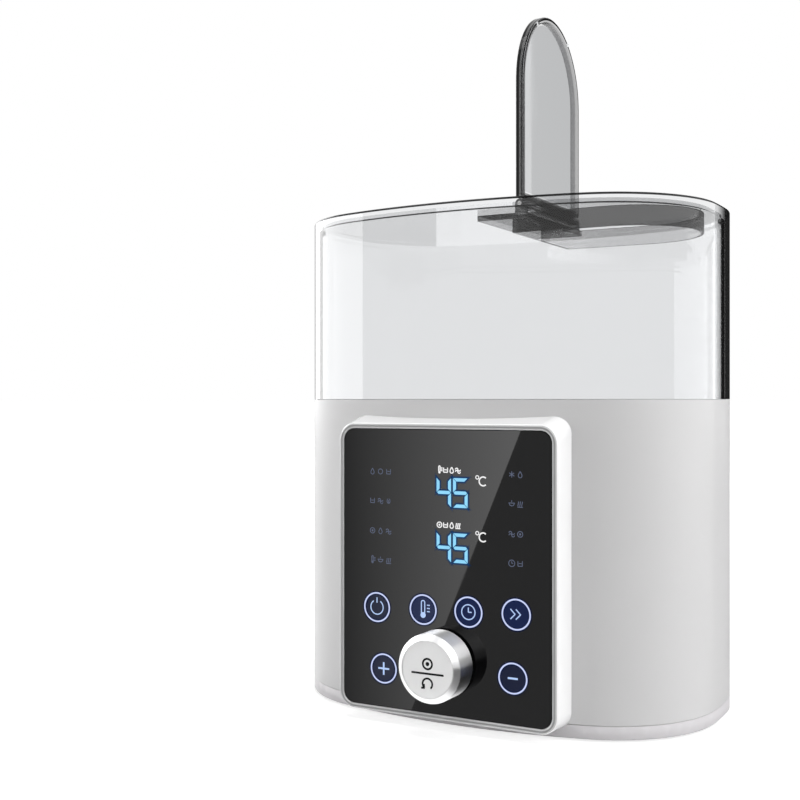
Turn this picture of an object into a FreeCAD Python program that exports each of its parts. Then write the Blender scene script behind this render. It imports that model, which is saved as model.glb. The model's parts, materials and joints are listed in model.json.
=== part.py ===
import FreeCAD, Part
import math
import os

# Countertop double bottle warmer with a clear lift-off hood, a hinged lid over its right half,
# an upright control panel and a push-and-turn knob.
# Millimetres. Origin: centre of the oval footprint, on the surface that the rubber feet stand on.
# +X towards the lid's end, -Y towards the control panel, +Z up.

# Body
body_length = 210.0
body_depth = 144.0
body_height = 150.0
front_arc_radius = 253.0
end_arc_radius = 500.0
corner_arc_radius = 57.5
shell_wall = 2.5
seam_chamfer = 0.5
shell_top_rounding = 0.4
shell_rim_wall = 1.35
snug = 0.15

# How far a cutting shape runs past the face that it cuts, and a joined one into its neighbour
past = 1.0

# Base tray and feet
foot_drop = 1.0
foot_radius = 7.0
foot_pocket_depth = 1.3
foot_spacing_x = 140.0
foot_spacing_y = 68.0
foot_rounding = 0.5
tray_ring_height = 6.0
tray_floor = 3.0
tray_edge_rounding = 0.8
tray_lip_height = 4.0
tray_lip_wall = 1.6
vent_count = 7
vent_width = 3.0
vent_length = 36.0
vent_pitch = 8.0

# Screws and the bosses that take them
boss_radius = 4.0
boss_sink = 0.6
boss_height = 16.0
screw_radius = 1.5
screw_head_radius = 2.8
screw_head_height = 1.8
screw_grip = 8.0
screw_clearance = 0.05
counterbore_clearance = 0.4

# Top deck and water tank
deck_recess = 2.5
deck_thickness = 3.0
deck_ledge_width = 2.5
deck_ledge_height = 2.0
deck_hole_rounding = 1.0
well_radius = 40.0
tank_lift = 41.5
tank_wall = 1.2
tank_corner_radius = 6.0
tank_flange_width = 7.7
tank_flange_gap = 0.3
gasket_thickness = 1.0
flange_screw_radius = 1.25
flange_screw_grip = 2.0
flange_screw_head_radius = 2.4
flange_screw_head_height = 1.4

# Heater under the tank
heater_plate_thickness = 4.0
heater_plate_inset = 7.0
element_radius = 3.2
element_bend_radius = 12.0
element_length = 96.0
terminal_radius = 1.2
terminal_length = 8.0
heater_gap = 0.05
clamp_pitch = 60.0
clamp_width = 12.0
clamp_thickness = 2.0
clamp_screw_offset = 6.0
clamp_pad_radius = 3.5
heater_screw_grip = 3.0
cutoff_radius = 7.0
cutoff_height = 7.0
cutoff_tab_width = 5.0
cutoff_tab_thickness = 0.8
cutoff_tab_length = 5.0
probe_radius = 2.5
probe_length = 7.0
probe_flange_radius = 5.0
probe_flange_thickness = 1.0
probe_offset = 20.0

# Power board
board_length = 128.0
board_width = 52.0
board_thickness = 1.6
board_lift = 8.0
board_screw_inset = 5.0
standoff_radius = 3.2
board_screw_grip = 5.0
transformer_size = (24.0, 20.0, 12.0)
relay_size = (19.0, 15.0, 11.0)
capacitor_radius = 5.5
capacitor_height = 12.0
terminal_block_size = (10.0, 30.0, 8.0)
transformer_place = (24.0, -8.0)
relay_place = (-22.0, 8.0)
capacitor_place = (46.0, -12.0)
second_capacitor_place = (46.0, 4.0)
buzzer_place = (-24.0, -14.0)
buzzer_radius = 6.0
buzzer_height = 7.0
buzzer_hole_radius = 1.0
lead_radius = 1.1
lead_bend_radius = 7.0
lead_run = 4.0

# Mains inlet in the back
inlet_height = 29.0
inlet_width = 21.0
inlet_tall = 13.0
inlet_depth = 18.0
inlet_flange = 2.5
inlet_flange_thickness = 2.0
inlet_flange_proud = 0.6
inlet_corner_radius = 2.0
inlet_mouth_width = 15.6
inlet_mouth_tall = 8.6
inlet_mouth_depth = 13.0
inlet_mouth_flat = 0.1
inlet_pin_radius = 1.2
inlet_pin_pitch = 8.6
inlet_pin_recess = 2.0
inlet_tab_length = 5.0

# Control panel
panel_width = 110.0
panel_top_drop = 11.0
panel_bottom = 5.0
panel_proud = 8.5
panel_corner_radius = 8.0
bezel_rim = 2.4
bezel_flare = 1.0
bezel_top_rise = 4.3
bezel_edge_rounding = 0.9
bezel_fit = 0.05
ledge_width = 3.0
ledge_thickness = 1.6
glass_recess = 0.3
glass_thickness = 2.0
glass_clearance = 0.2
seal_thickness = 0.5
seal_width = 2.4
display_board_thickness = 1.6
display_board_gap = 1.0
panel_boss_radius = 3.4
panel_boss_gap = 1.0
panel_screw_grip = 6.0
panel_screw_head_gap = 0.1
shell_window_width = 44.0
shell_window_height = 40.0
shell_window_corner_radius = 2.0
shell_window_reach = 7.5
display_width = 32.0
display_height = 18.0
display_offset_x = 8.0
upper_display_z = 108.0
lower_display_z = 83.0
display_gap = 0.1
key_pitch = 23.5
key_row_z = 54.5
small_key_x = 33.0
small_key_z = 26.5
spring_radius = 5.0
spring_hole_radius = 3.6

# Knob and encoder
knob_z = 31.0
knob_radius = 15.5
knob_reach = 15.5
knob_chamfer_width = 2.7
knob_face_thickness = 1.0
knob_chamfer_depth = 2.0
knob_wall = 2.0
knob_front_wall = 2.0
knob_hub_radius = 5.5
knob_lift = 1.2
collar_inset = 1.1
collar_hole_radius = 4.4
collar_thickness = 0.8
glass_hole_radius = 8.0
press_travel = 0.8
encoder_size = 13.0
encoder_depth = 7.5
bushing_radius = 3.8
nut_flats = 10.0
shaft_radius = 3.0
running_clearance = 0.05
plunger_disc_thickness = 1.5
plunger_rod_radius = 1.0
plunger_rod_end = 0.6
shaft_flat_depth = 1.2
shaft_flat_length = 7.0

# Clear hood
hood_height = 91.0
hood_wall_thickness = 2.5
hood_seat_gap = 0.2
hood_seal_wall = 1.0
hood_seal_gap = 0.15
hood_rim_depth = 4.0
hood_rim_wall = 4.0
hood_top_thickness = 2.0
hood_edge_rounding = 1.3

# Lid, its opening and its hinge
hinge_x = 18.5
hinge_lift = 2.4
hinge_pin_radius = 1.0
knuckle_radius = 2.2
knuckle_length = 5.4
knuckle_gap = 0.4
bracket_reach = 22.0
bracket_front = 3.5
bracket_depth = 2.8
lid_overhang = 21.5
lid_side_overlap = 2.5
lid_arch_length = 38.0
lid_thickness = 4.0
lid_frame_width = 2.4
lid_panel_thickness = 1.8
lid_start = 2.7
lid_web_thickness = 2.0
opening_edge_gap = 1.0
opening_end_margin = 11.0
opening_half_width = 34.5
opening_arch_length = 34.0
collar_wall = 1.5
collar_start_back = 4.0
collar_drop = 9.4
bumper_radius = 1.0
bumper_thickness = 0.3
bumper_pitch = 40.0

# Lift-out bottle rack
rack_gap = 1.5
rack_plate_thickness = 2.5
rack_nub_radius = 3.0
rack_nub_height = 3.0
rack_seat_gap = 0.3
cup_gap = 1.0
cup_wall = 2.0
cup_height = 9.0
water_hole_radius = 5.0
water_hole_circle = 26.0
water_hole_count = 6
handle_half_width = 16.0
handle_thickness = 5.0
handle_bar = 5.0
handle_top_drop = 1.5
finger_gap_height = 26.0
handle_rounding = 2.0
pad_gap = 1.5
pad_inner_radius = 14.0
pad_thickness = 1.0

# Sizes and heights that follow from the ones above
well_end_margin = shell_wall + deck_ledge_width + tank_flange_gap + tank_flange_width
well_pitch = body_length - 2 * (well_end_margin + well_radius)
cup_inner_radius = well_radius - rack_gap - cup_gap - cup_wall
pad_outer_radius = cup_inner_radius - pad_gap
inlet_mouth_corner_radius = inlet_mouth_tall / 2 - inlet_mouth_flat
knob_face_radius = knob_radius - knob_chamfer_width
collar_radius = knob_radius - collar_inset
panel_height = body_height - panel_bottom - panel_top_drop
opening_end_x = body_length / 2 - opening_end_margin
lid_length = opening_end_x - hinge_x + lid_overhang
lid_half_width = opening_half_width + lid_side_overlap
collar_start_x = hinge_x - collar_start_back
screw_hole_radius = screw_radius + screw_clearance
flange_hole_radius = flange_screw_radius + screw_clearance
tray_bottom = foot_drop
tray_floor_top = tray_bottom + tray_floor
tray_top = tray_bottom + tray_ring_height
tray_lip_top = tray_top + tray_lip_height
deck_top = body_height - deck_recess
deck_bottom = deck_top - deck_thickness
flange_top = deck_bottom - gasket_thickness
tank_bottom = tray_floor_top + tank_lift
tank_floor_top = tank_bottom + tank_wall
plate_bottom = tank_bottom - heater_plate_thickness
element_z = plate_bottom - heater_gap - element_radius
clamp_top = element_z - element_radius - heater_gap
board_bottom = tray_floor_top + board_lift
board_top = board_bottom + board_thickness
hood_bottom = body_height + hood_seat_gap
hood_top = body_height + hood_height
plate_underside = hood_top - hood_top_thickness
hinge_z = hood_top + hinge_lift
panel_top = panel_bottom + panel_height
rack_plate_bottom = tank_floor_top + rack_seat_gap + rack_nub_height
rack_plate_top = rack_plate_bottom + rack_plate_thickness

# Depths of the control panel's layers, from its front plane back
panel_front = -(body_depth / 2 + panel_proud)
glass_front = panel_front + glass_recess
glass_back = glass_front + glass_thickness
ledge_front = glass_back + seal_thickness
ledge_back = ledge_front + ledge_thickness
display_board_back = ledge_back + display_board_thickness
encoder_back = display_board_back + encoder_depth
collar_front = glass_front - collar_thickness
knob_back = collar_front - knob_lift
knob_front = glass_front - knob_reach

# Centres of the arcs that make the oval plan
side_centre_y = body_depth / 2 - front_arc_radius
end_centre_x = body_length / 2 - end_arc_radius


def vec(x, y, z):
    return FreeCAD.Vector(x, y, z)


# The corner arc touches the side arc and the end arc from inside
def corner_centre():
    side_reach = front_arc_radius - corner_arc_radius
    end_reach = end_arc_radius - corner_arc_radius
    apart = math.hypot(end_centre_x, side_centre_y)
    along = (side_reach ** 2 - end_reach ** 2 + apart ** 2) / (2 * apart)
    across = math.sqrt(side_reach ** 2 - along ** 2)
    step_x = end_centre_x / apart
    step_y = -side_centre_y / apart
    foot_x = along * step_x
    foot_y = side_centre_y + along * step_y
    return foot_x + across * step_y, foot_y - across * step_x


corner_x, corner_y = corner_centre()
side_turn = math.atan2(corner_y - side_centre_y, corner_x)
end_turn = math.atan2(corner_y, corner_x - end_centre_x)


def arc_edge(cx, cy, radius, start, stop, z):
    points = []
    for angle in (start, (start + stop) / 2, stop):
        points.append(vec(cx + radius * math.cos(angle), cy + radius * math.sin(angle), z))
    return Part.Arc(*points).toShape()


# The oval plan, drawn in by inset, as one closed wire of eight arcs
def oval_wire(inset, z):
    right = end_arc_radius - inset
    side = front_arc_radius - inset
    corner = corner_arc_radius - inset
    half = math.pi
    edges = [
        arc_edge(end_centre_x, 0, right, -end_turn, end_turn, z),
        arc_edge(corner_x, corner_y, corner, end_turn, side_turn, z),
        arc_edge(0, side_centre_y, side, side_turn, half - side_turn, z),
        arc_edge(-corner_x, corner_y, corner, half - side_turn, half - end_turn, z),
        arc_edge(-end_centre_x, 0, right, half - end_turn, half + end_turn, z),
        arc_edge(-corner_x, -corner_y, corner, half + end_turn, half + side_turn, z),
        arc_edge(0, -side_centre_y, side, half + side_turn, 2 * half - side_turn, z),
        arc_edge(corner_x, -corner_y, corner, 2 * half - side_turn, 2 * half - end_turn, z),
    ]
    return Part.Wire(edges)


def oval_block(inset, low, high):
    return Part.Face(oval_wire(inset, low)).extrude(vec(0, 0, high - low))


# How far forward the front of the oval lies at x, where the plan is drawn in by inset
def oval_front(x, inset):
    return -side_centre_y - math.sqrt((front_arc_radius - inset) ** 2 - x ** 2)


# A round-ended slot plan: half circles of radius about two centres, pitch apart along X
def slot_block(pitch, radius, low, high):
    half = pitch / 2
    edges = [
        Part.LineSegment(vec(-half, -radius, low), vec(half, -radius, low)).toShape(),
        arc_edge(half, 0, radius, -math.pi / 2, math.pi / 2, low),
        Part.LineSegment(vec(half, radius, low), vec(-half, radius, low)).toShape(),
        arc_edge(-half, 0, radius, math.pi / 2, 3 * math.pi / 2, low),
    ]
    return Part.Face(Part.Wire(edges)).extrude(vec(0, 0, high - low))


def box(x0, x1, y0, y1, z0, z1):
    return Part.makeBox(x1 - x0, y1 - y0, z1 - z0, vec(x0, y0, z0))


def post(radius, x, y, low, high):
    return Part.makeCylinder(radius, high - low, vec(x, y, low), vec(0, 0, 1))


def post_along_y(radius, x, z, front, back):
    return Part.makeCylinder(radius, back - front, vec(x, front, z), vec(0, 1, 0))


def ring_along_y(outer, inner, x, z, front, back):
    return post_along_y(outer, x, z, front, back).cut(post_along_y(inner, x, z, front, back))


# An upright rounded rectangle in the plane y
def panel_wire(half_width, low, high, radius, y):
    left = -half_width
    right = half_width
    corners = [
        (right - radius, low + radius, -math.pi / 2),
        (right - radius, high - radius, 0),
        (left + radius, high - radius, math.pi / 2),
        (left + radius, low + radius, math.pi),
    ]
    edges = []
    ends = []
    for cx, cz, start in corners:
        points = []
        for angle in (start, start + math.pi / 4, start + math.pi / 2):
            points.append(vec(cx + radius * math.cos(angle), y, cz + radius * math.sin(angle)))
        edges.append(Part.Arc(*points).toShape())
        ends.append(points)
    ordered = []
    for index, edge in enumerate(edges):
        following = ends[(index + 1) % len(ends)]
        ordered.append(edge)
        ordered.append(Part.LineSegment(ends[index][2], following[0]).toShape())
    return Part.Wire(ordered)


def panel_block(half_width, low, high, radius, front, back):
    return Part.Face(panel_wire(half_width, low, high, radius, front)).extrude(vec(0, back - front, 0))


def horizontal_edges(shape, z):
    found = []
    for edge in shape.Edges:
        limits = edge.BoundBox
        if abs(limits.ZMin - z) < 1e-4 and abs(limits.ZMax - z) < 1e-4:
            found.append(edge)
    return found


def edges_in_plane_y(shape, y):
    found = []
    for edge in shape.Edges:
        limits = edge.BoundBox
        if abs(limits.YMin - y) < 1e-4 and abs(limits.YMax - y) < 1e-4:
            found.append(edge)
    return found


# Where the four body screws stand: in the corner arcs, sunk a little into the shell's wall
def boss_places():
    reach = corner_arc_radius - shell_wall - boss_radius + boss_sink
    x = corner_x + reach * math.cos(math.pi / 4)
    y = corner_y + reach * math.sin(math.pi / 4)
    return [(x, y), (-x, y), (-x, -y), (x, -y)]


def foot_places():
    x = foot_spacing_x / 2
    y = foot_spacing_y / 2
    return [(x, y), (-x, y), (-x, -y), (x, -y)]


def board_screw_places():
    x = board_length / 2 - board_screw_inset
    y = board_width / 2 - board_screw_inset
    return [(x, y), (-x, y), (-x, -y), (x, -y)]


def flange_screw_places():
    y = well_radius + (tank_wall + tank_flange_width) / 2
    places = []
    for x in (-well_pitch / 2, 0, well_pitch / 2):
        places.append((x, y))
        places.append((x, -y))
    return places


# The panel's screws come from inside the shell, into bosses at the panel's four corners
def panel_screw_places():
    x = panel_width / 2 - bezel_rim - panel_boss_radius
    inner_low = tray_lip_top + screw_head_radius + panel_boss_gap
    inner_high = panel_top - bezel_rim - panel_boss_radius
    return [(x, inner_low), (-x, inner_low), (-x, inner_high), (x, inner_high)]


def clamp_screw_places():
    y = element_bend_radius + element_radius + clamp_screw_offset
    places = []
    for x in (-clamp_pitch / 2, clamp_pitch / 2):
        places.append((x, y))
        places.append((x, -y))
    return places


def key_places():
    row = [(step * key_pitch, key_row_z) for step in (-1.5, -0.5, 0.5, 1.5)]
    return row + [(-small_key_x, small_key_z), (small_key_x, small_key_z)]


def make_base_tray():
    lip_outer = shell_wall + snug
    lip_inner = lip_outer + tray_lip_wall
    tray = oval_block(0, tray_bottom, tray_top)
    tray = tray.makeFillet(tray_edge_rounding, horizontal_edges(tray, tray_bottom))
    tray = tray.fuse(oval_block(lip_outer, tray_top, tray_lip_top))
    tray = tray.cut(oval_block(lip_inner, tray_floor_top, tray_lip_top))
    inside = oval_block(lip_outer, tray_bottom, tray_lip_top)
    for x, y in boss_places():
        tray = tray.fuse(post(boss_radius, x, y, tray_floor_top - past, tray_lip_top).common(inside))
    for x, y in board_screw_places():
        tray = tray.fuse(post(standoff_radius, x, y, tray_floor_top - past, board_bottom))
    counterbore = screw_head_radius + counterbore_clearance
    seat = tray_bottom + screw_head_height + counterbore_clearance
    for x, y in boss_places():
        tray = tray.cut(post(counterbore, x, y, tray_bottom - past, seat))
        tray = tray.cut(post(screw_hole_radius, x, y, tray_bottom, tray_lip_top + past))
    for x, y in board_screw_places():
        pilot_end = board_bottom - board_screw_grip - screw_clearance
        tray = tray.cut(post(screw_hole_radius, x, y, pilot_end, board_bottom + past))
    for x, y in foot_places():
        pocket_top = tray_bottom + foot_pocket_depth
        tray = tray.cut(post(foot_radius + snug, x, y, tray_bottom - past, pocket_top))
    for index in range(vent_count):
        x = (index - (vent_count - 1) / 2) * vent_pitch
        straight = vent_length / 2 - vent_width / 2
        slot = box(x - vent_width / 2, x + vent_width / 2, -straight, straight,
                   tray_bottom - past, tray_floor_top + past)
        for end in (-straight, straight):
            slot = slot.fuse(post(vent_width / 2, x, end, tray_bottom - past, tray_floor_top + past))
        tray = tray.cut(slot)
    return tray.removeSplitter()


def make_rubber_feet():
    feet = []
    for x, y in foot_places():
        foot = post(foot_radius, x, y, 0, tray_bottom + foot_pocket_depth)
        feet.append(foot.makeFillet(foot_rounding, horizontal_edges(foot, 0)))
    return Part.makeCompound(feet)


def upright_screw(x, y, head_low, tip, radius, head_radius, head_height):
    shank = post(radius, x, y, head_low + head_height, tip)
    head = post(head_radius, x, y, head_low, head_low + head_height)
    return head.fuse(shank)


def make_tray_screws():
    head_low = tray_bottom + counterbore_clearance
    screws = []
    for x, y in boss_places():
        screws.append(upright_screw(x, y, head_low, tray_lip_top + screw_grip, screw_radius,
                                    screw_head_radius, screw_head_height))
    return Part.makeCompound(screws)


def make_outer_shell():
    shell = oval_block(0, tray_top, body_height)
    shell = shell.makeChamfer(seam_chamfer, horizontal_edges(shell, tray_top))
    shell = shell.makeFillet(shell_top_rounding, horizontal_edges(shell, body_height))
    shell = shell.cut(oval_block(shell_wall, tray_top - past, body_height + past))
    shell = shell.cut(oval_block(shell_rim_wall, deck_top, body_height + past))
    ledge_low = deck_bottom - deck_ledge_height
    ledge = oval_block(shell_wall - snug, ledge_low, deck_bottom)
    ledge = ledge.cut(oval_block(shell_wall + deck_ledge_width, ledge_low - past, deck_bottom + past))
    shell = shell.fuse(ledge)
    for x, y in boss_places():
        shell = shell.fuse(post(boss_radius, x, y, tray_lip_top, tray_lip_top + boss_height))
    for x, y in boss_places():
        depth = tray_lip_top + screw_grip + past
        shell = shell.cut(post(screw_hole_radius, x, y, tray_lip_top - past, depth))
    half_window = shell_window_width / 2
    window_low = knob_z - shell_window_height / 2
    shell_front = -body_depth / 2
    window = panel_block(half_window, window_low, window_low + shell_window_height,
                         shell_window_corner_radius, shell_front - past, shell_front + shell_window_reach)
    shell = shell.cut(window)
    for x, z in panel_screw_places():
        shell = shell.cut(post_along_y(screw_radius + 2 * screw_clearance, x, z, panel_front, 0))
    shell = shell.cut(inlet_body_block(snug))
    shell = shell.cut(inlet_flange_block(snug))
    return shell.removeSplitter()


def make_top_deck():
    deck = oval_block(shell_wall + snug, deck_bottom, deck_top)
    hole = slot_block(well_pitch, well_radius, deck_bottom - past, deck_top + past)
    deck = deck.cut(hole)
    reach_x = well_pitch / 2 + well_radius + snug
    reach_y = well_radius + snug
    rim = []
    for edge in horizontal_edges(deck, deck_top):
        limits = edge.BoundBox
        if max(-limits.XMin, limits.XMax) < reach_x and max(-limits.YMin, limits.YMax) < reach_y:
            rim.append(edge)
    deck = deck.makeFillet(deck_hole_rounding, rim)
    for x, y in flange_screw_places():
        top = deck_bottom + flange_screw_grip + screw_clearance
        deck = deck.cut(post(flange_hole_radius, x, y, deck_bottom - past, top))
    return deck.removeSplitter()


def make_tank_gasket():
    gasket = slot_block(well_pitch, well_radius + tank_flange_width, flange_top, deck_bottom)
    gasket = gasket.cut(slot_block(well_pitch, well_radius, flange_top - past, deck_bottom + past))
    for x, y in flange_screw_places():
        gasket = gasket.cut(post(flange_hole_radius, x, y, flange_top - past, deck_bottom + past))
    return gasket


def make_water_tank():
    tank = slot_block(well_pitch, well_radius + tank_wall, tank_bottom, flange_top)
    outer_corner = tank_corner_radius + tank_wall
    tank = tank.makeFillet(outer_corner, horizontal_edges(tank, tank_bottom))
    flange_low = flange_top - tank_wall
    tank = tank.fuse(slot_block(well_pitch, well_radius + tank_flange_width, flange_low, flange_top))
    hollow = slot_block(well_pitch, well_radius, tank_floor_top, flange_top + tank_corner_radius)
    hollow = hollow.makeFillet(tank_corner_radius, horizontal_edges(hollow, tank_floor_top))
    tank = tank.cut(hollow)
    for x, y in flange_screw_places():
        tank = tank.cut(post(flange_hole_radius, x, y, flange_low - past, flange_top + past))
    return tank.removeSplitter()


def make_tank_screws():
    head_low = flange_top - tank_wall - flange_screw_head_height
    tip = deck_bottom + flange_screw_grip
    screws = []
    for x, y in flange_screw_places():
        screws.append(upright_screw(x, y, head_low, tip, flange_screw_radius,
                                    flange_screw_head_radius, flange_screw_head_height))
    return Part.makeCompound(screws)


def make_heater_plate():
    plate = slot_block(well_pitch, well_radius - heater_plate_inset, plate_bottom, tank_bottom)
    for x, y in clamp_screw_places():
        top = plate_bottom + heater_screw_grip + screw_clearance
        plate = plate.cut(post(screw_hole_radius, x, y, plate_bottom - past, top))
    return plate


# A U-shaped tube under the plate, with a terminal pin at each end
def make_heater_element():
    bend_x = element_length / 2
    start_x = -element_length / 2
    tube = None
    for side in (-1, 1):
        y = side * element_bend_radius
        leg = Part.makeCylinder(element_radius, bend_x - start_x, vec(start_x, y, element_z), vec(1, 0, 0))
        pin_end = vec(start_x - terminal_length, y, element_z)
        pin = Part.makeCylinder(terminal_radius, terminal_length, pin_end, vec(1, 0, 0))
        leg = leg.fuse(pin)
        tube = leg if tube is None else tube.fuse(leg)
    bend = Part.makeTorus(element_bend_radius, element_radius, vec(bend_x, 0, element_z), vec(0, 0, 1))
    reach = element_bend_radius + element_radius + past
    half_space = box(bend_x, bend_x + reach, -reach, reach, element_z - reach, element_z + reach)
    return tube.fuse(bend.common(half_space)).removeSplitter()


def make_heater_clamps():
    clamps = []
    places = clamp_screw_places()
    y = places[0][1] + clamp_pad_radius
    for x in (-clamp_pitch / 2, clamp_pitch / 2):
        bar = box(x - clamp_width / 2, x + clamp_width / 2, -y, y, clamp_top - clamp_thickness, clamp_top)
        for px, py in places:
            if abs(px - x) < screw_radius:
                bar = bar.fuse(post(clamp_pad_radius, px, py, clamp_top - past, plate_bottom))
        for px, py in places:
            if abs(px - x) < screw_radius:
                bar = bar.cut(post(screw_hole_radius, px, py, clamp_top - clamp_thickness - past,
                                   plate_bottom + past))
        clamps.append(bar.removeSplitter())
    return Part.makeCompound(clamps)


def make_heater_screws():
    head_low = clamp_top - clamp_thickness - screw_head_height
    screws = []
    for x, y in clamp_screw_places():
        screws.append(upright_screw(x, y, head_low, plate_bottom + heater_screw_grip, screw_radius,
                                    screw_head_radius, screw_head_height))
    return Part.makeCompound(screws)


def make_thermal_cutoff():
    low = plate_bottom - cutoff_height
    cutoff = post(cutoff_radius, 0, 0, low, plate_bottom)
    for y in (-cutoff_radius / 2, cutoff_radius / 2):
        tab = box(-cutoff_tab_width / 2, cutoff_tab_width / 2, y - cutoff_tab_thickness / 2,
                  y + cutoff_tab_thickness / 2, low - cutoff_tab_length, low + past)
        cutoff = cutoff.fuse(tab)
    return cutoff.removeSplitter()


def make_temperature_probe():
    low = plate_bottom - probe_length
    probe = post(probe_radius, -probe_offset + probe_flange_radius, 0, low, plate_bottom)
    flange = post(probe_flange_radius, -probe_offset + probe_flange_radius, 0,
                  plate_bottom - probe_flange_thickness, plate_bottom)
    return probe.fuse(flange).removeSplitter()


def make_power_board():
    x = board_length / 2
    y = board_width / 2
    board = box(-x, x, -y, y, board_bottom, board_top)
    for px, py in board_screw_places():
        board = board.cut(post(screw_hole_radius, px, py, board_bottom - past, board_top + past))
    return board


def centred_block(size, place, low):
    x, y = place
    return box(x - size[0] / 2, x + size[0] / 2, y - size[1] / 2, y + size[1] / 2, low, low + size[2])


def make_power_components():
    pieces = [
        centred_block(transformer_size, transformer_place, board_top),
        centred_block(relay_size, relay_place, board_top),
        post(capacitor_radius, *capacitor_place, board_top, board_top + capacitor_height),
        post(capacitor_radius, *second_capacitor_place, board_top, board_top + capacitor_height),
        centred_block(terminal_block_size, terminal_block_place(), board_top),
    ]
    return Part.makeCompound(pieces)


def terminal_block_place():
    return heater_lead_drop_x(), 0


def heater_lead_drop_x():
    return -element_length / 2 - terminal_length - lead_run - lead_bend_radius


def make_board_screws():
    screws = []
    for x, y in board_screw_places():
        shank = post(screw_radius, x, y, board_bottom - board_screw_grip, board_top)
        head = post(screw_head_radius, x, y, board_top, board_top + screw_head_height)
        screws.append(shank.fuse(head))
    return Part.makeCompound(screws)


def make_buzzer():
    x, y = buzzer_place
    top = board_top + buzzer_height
    case = post(buzzer_radius, x, y, board_top, top)
    return case.cut(post(buzzer_hole_radius, x, y, top - buzzer_height / 2, top + past))


# A lead runs level from its start along (ahead_x, ahead_y), turns through a quarter circle and drops
def bent_lead(start, ahead_x, ahead_y, run, bottom):
    across = lead_bend_radius * math.sin(math.pi / 4)
    down = lead_bend_radius * (1 - math.cos(math.pi / 4))
    end_reach = run + lead_bend_radius
    corner = vec(start.x + ahead_x * run, start.y + ahead_y * run, start.z)
    middle = vec(corner.x + ahead_x * across, corner.y + ahead_y * across, start.z - down)
    bend_end = vec(start.x + ahead_x * end_reach, start.y + ahead_y * end_reach, start.z - lead_bend_radius)
    path = Part.Wire([
        Part.LineSegment(start, corner).toShape(),
        Part.Arc(corner, middle, bend_end).toShape(),
        Part.LineSegment(bend_end, vec(bend_end.x, bend_end.y, bottom)).toShape(),
    ])
    section = Part.Wire([Part.makeCircle(lead_radius, start, vec(ahead_x, ahead_y, 0))])
    return path.makePipeShell([section], True, False)


def make_heater_leads():
    leads = []
    start_x = -element_length / 2 - terminal_length
    bottom = board_top + terminal_block_size[2]
    for side in (-1, 1):
        start = vec(start_x, side * element_bend_radius, element_z)
        leads.append(bent_lead(start, -1, 0, lead_run, bottom))
    return Part.makeCompound(leads)


def inlet_back_y():
    return body_depth / 2 + inlet_flange_proud


def inlet_body_end():
    return inlet_back_y() - inlet_depth


def inlet_body_block(clearance):
    half = inlet_width / 2 + clearance
    low = inlet_height - inlet_tall / 2 - clearance
    high = inlet_height + inlet_tall / 2 + clearance
    return panel_block(half, low, high, inlet_corner_radius, inlet_body_end(), inlet_back_y())


def inlet_flange_block(clearance):
    half = inlet_width / 2 + inlet_flange + clearance
    low = inlet_height - inlet_tall / 2 - inlet_flange - clearance
    high = inlet_height + inlet_tall / 2 + inlet_flange + clearance
    back = inlet_back_y()
    front = back - inlet_flange_thickness - clearance / 2
    return panel_block(half, low, high, inlet_corner_radius, front, back)


def make_mains_inlet():
    inlet = inlet_body_block(0).fuse(inlet_flange_block(0))
    half = inlet_mouth_width / 2
    low = inlet_height - inlet_mouth_tall / 2
    high = inlet_height + inlet_mouth_tall / 2
    back = inlet_back_y()
    mouth_floor = back - inlet_mouth_depth
    inlet = inlet.cut(panel_block(half, low, high, inlet_mouth_corner_radius, mouth_floor, back + past))
    for x in (-inlet_pin_pitch / 2, inlet_pin_pitch / 2):
        hole = post_along_y(inlet_pin_radius + screw_clearance, x, inlet_height,
                            inlet_body_end() - past, mouth_floor + past)
        inlet = inlet.cut(hole)
    return inlet.removeSplitter()


def make_inlet_pins():
    tip = inlet_back_y() - inlet_pin_recess
    root = inlet_body_end() - inlet_tab_length
    pins = []
    for x in (-inlet_pin_pitch / 2, inlet_pin_pitch / 2):
        pin = post_along_y(inlet_pin_radius, x, inlet_height, root, tip)
        pins.append(pin.makeChamfer(inlet_pin_radius / 3, edges_in_plane_y(pin, tip)))
    return Part.makeCompound(pins)


# An inlet lead ends on the board, its own thickness in from the board's edge
def make_inlet_leads():
    leads = []
    root = inlet_body_end() - inlet_tab_length
    landing = board_width / 2 - 2 * lead_radius
    run = root - landing - lead_bend_radius
    for x in (-inlet_pin_pitch / 2, inlet_pin_pitch / 2):
        start = vec(x, root, inlet_height)
        leads.append(bent_lead(start, 0, -1, run, board_top))
    return Part.makeCompound(leads)


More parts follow.
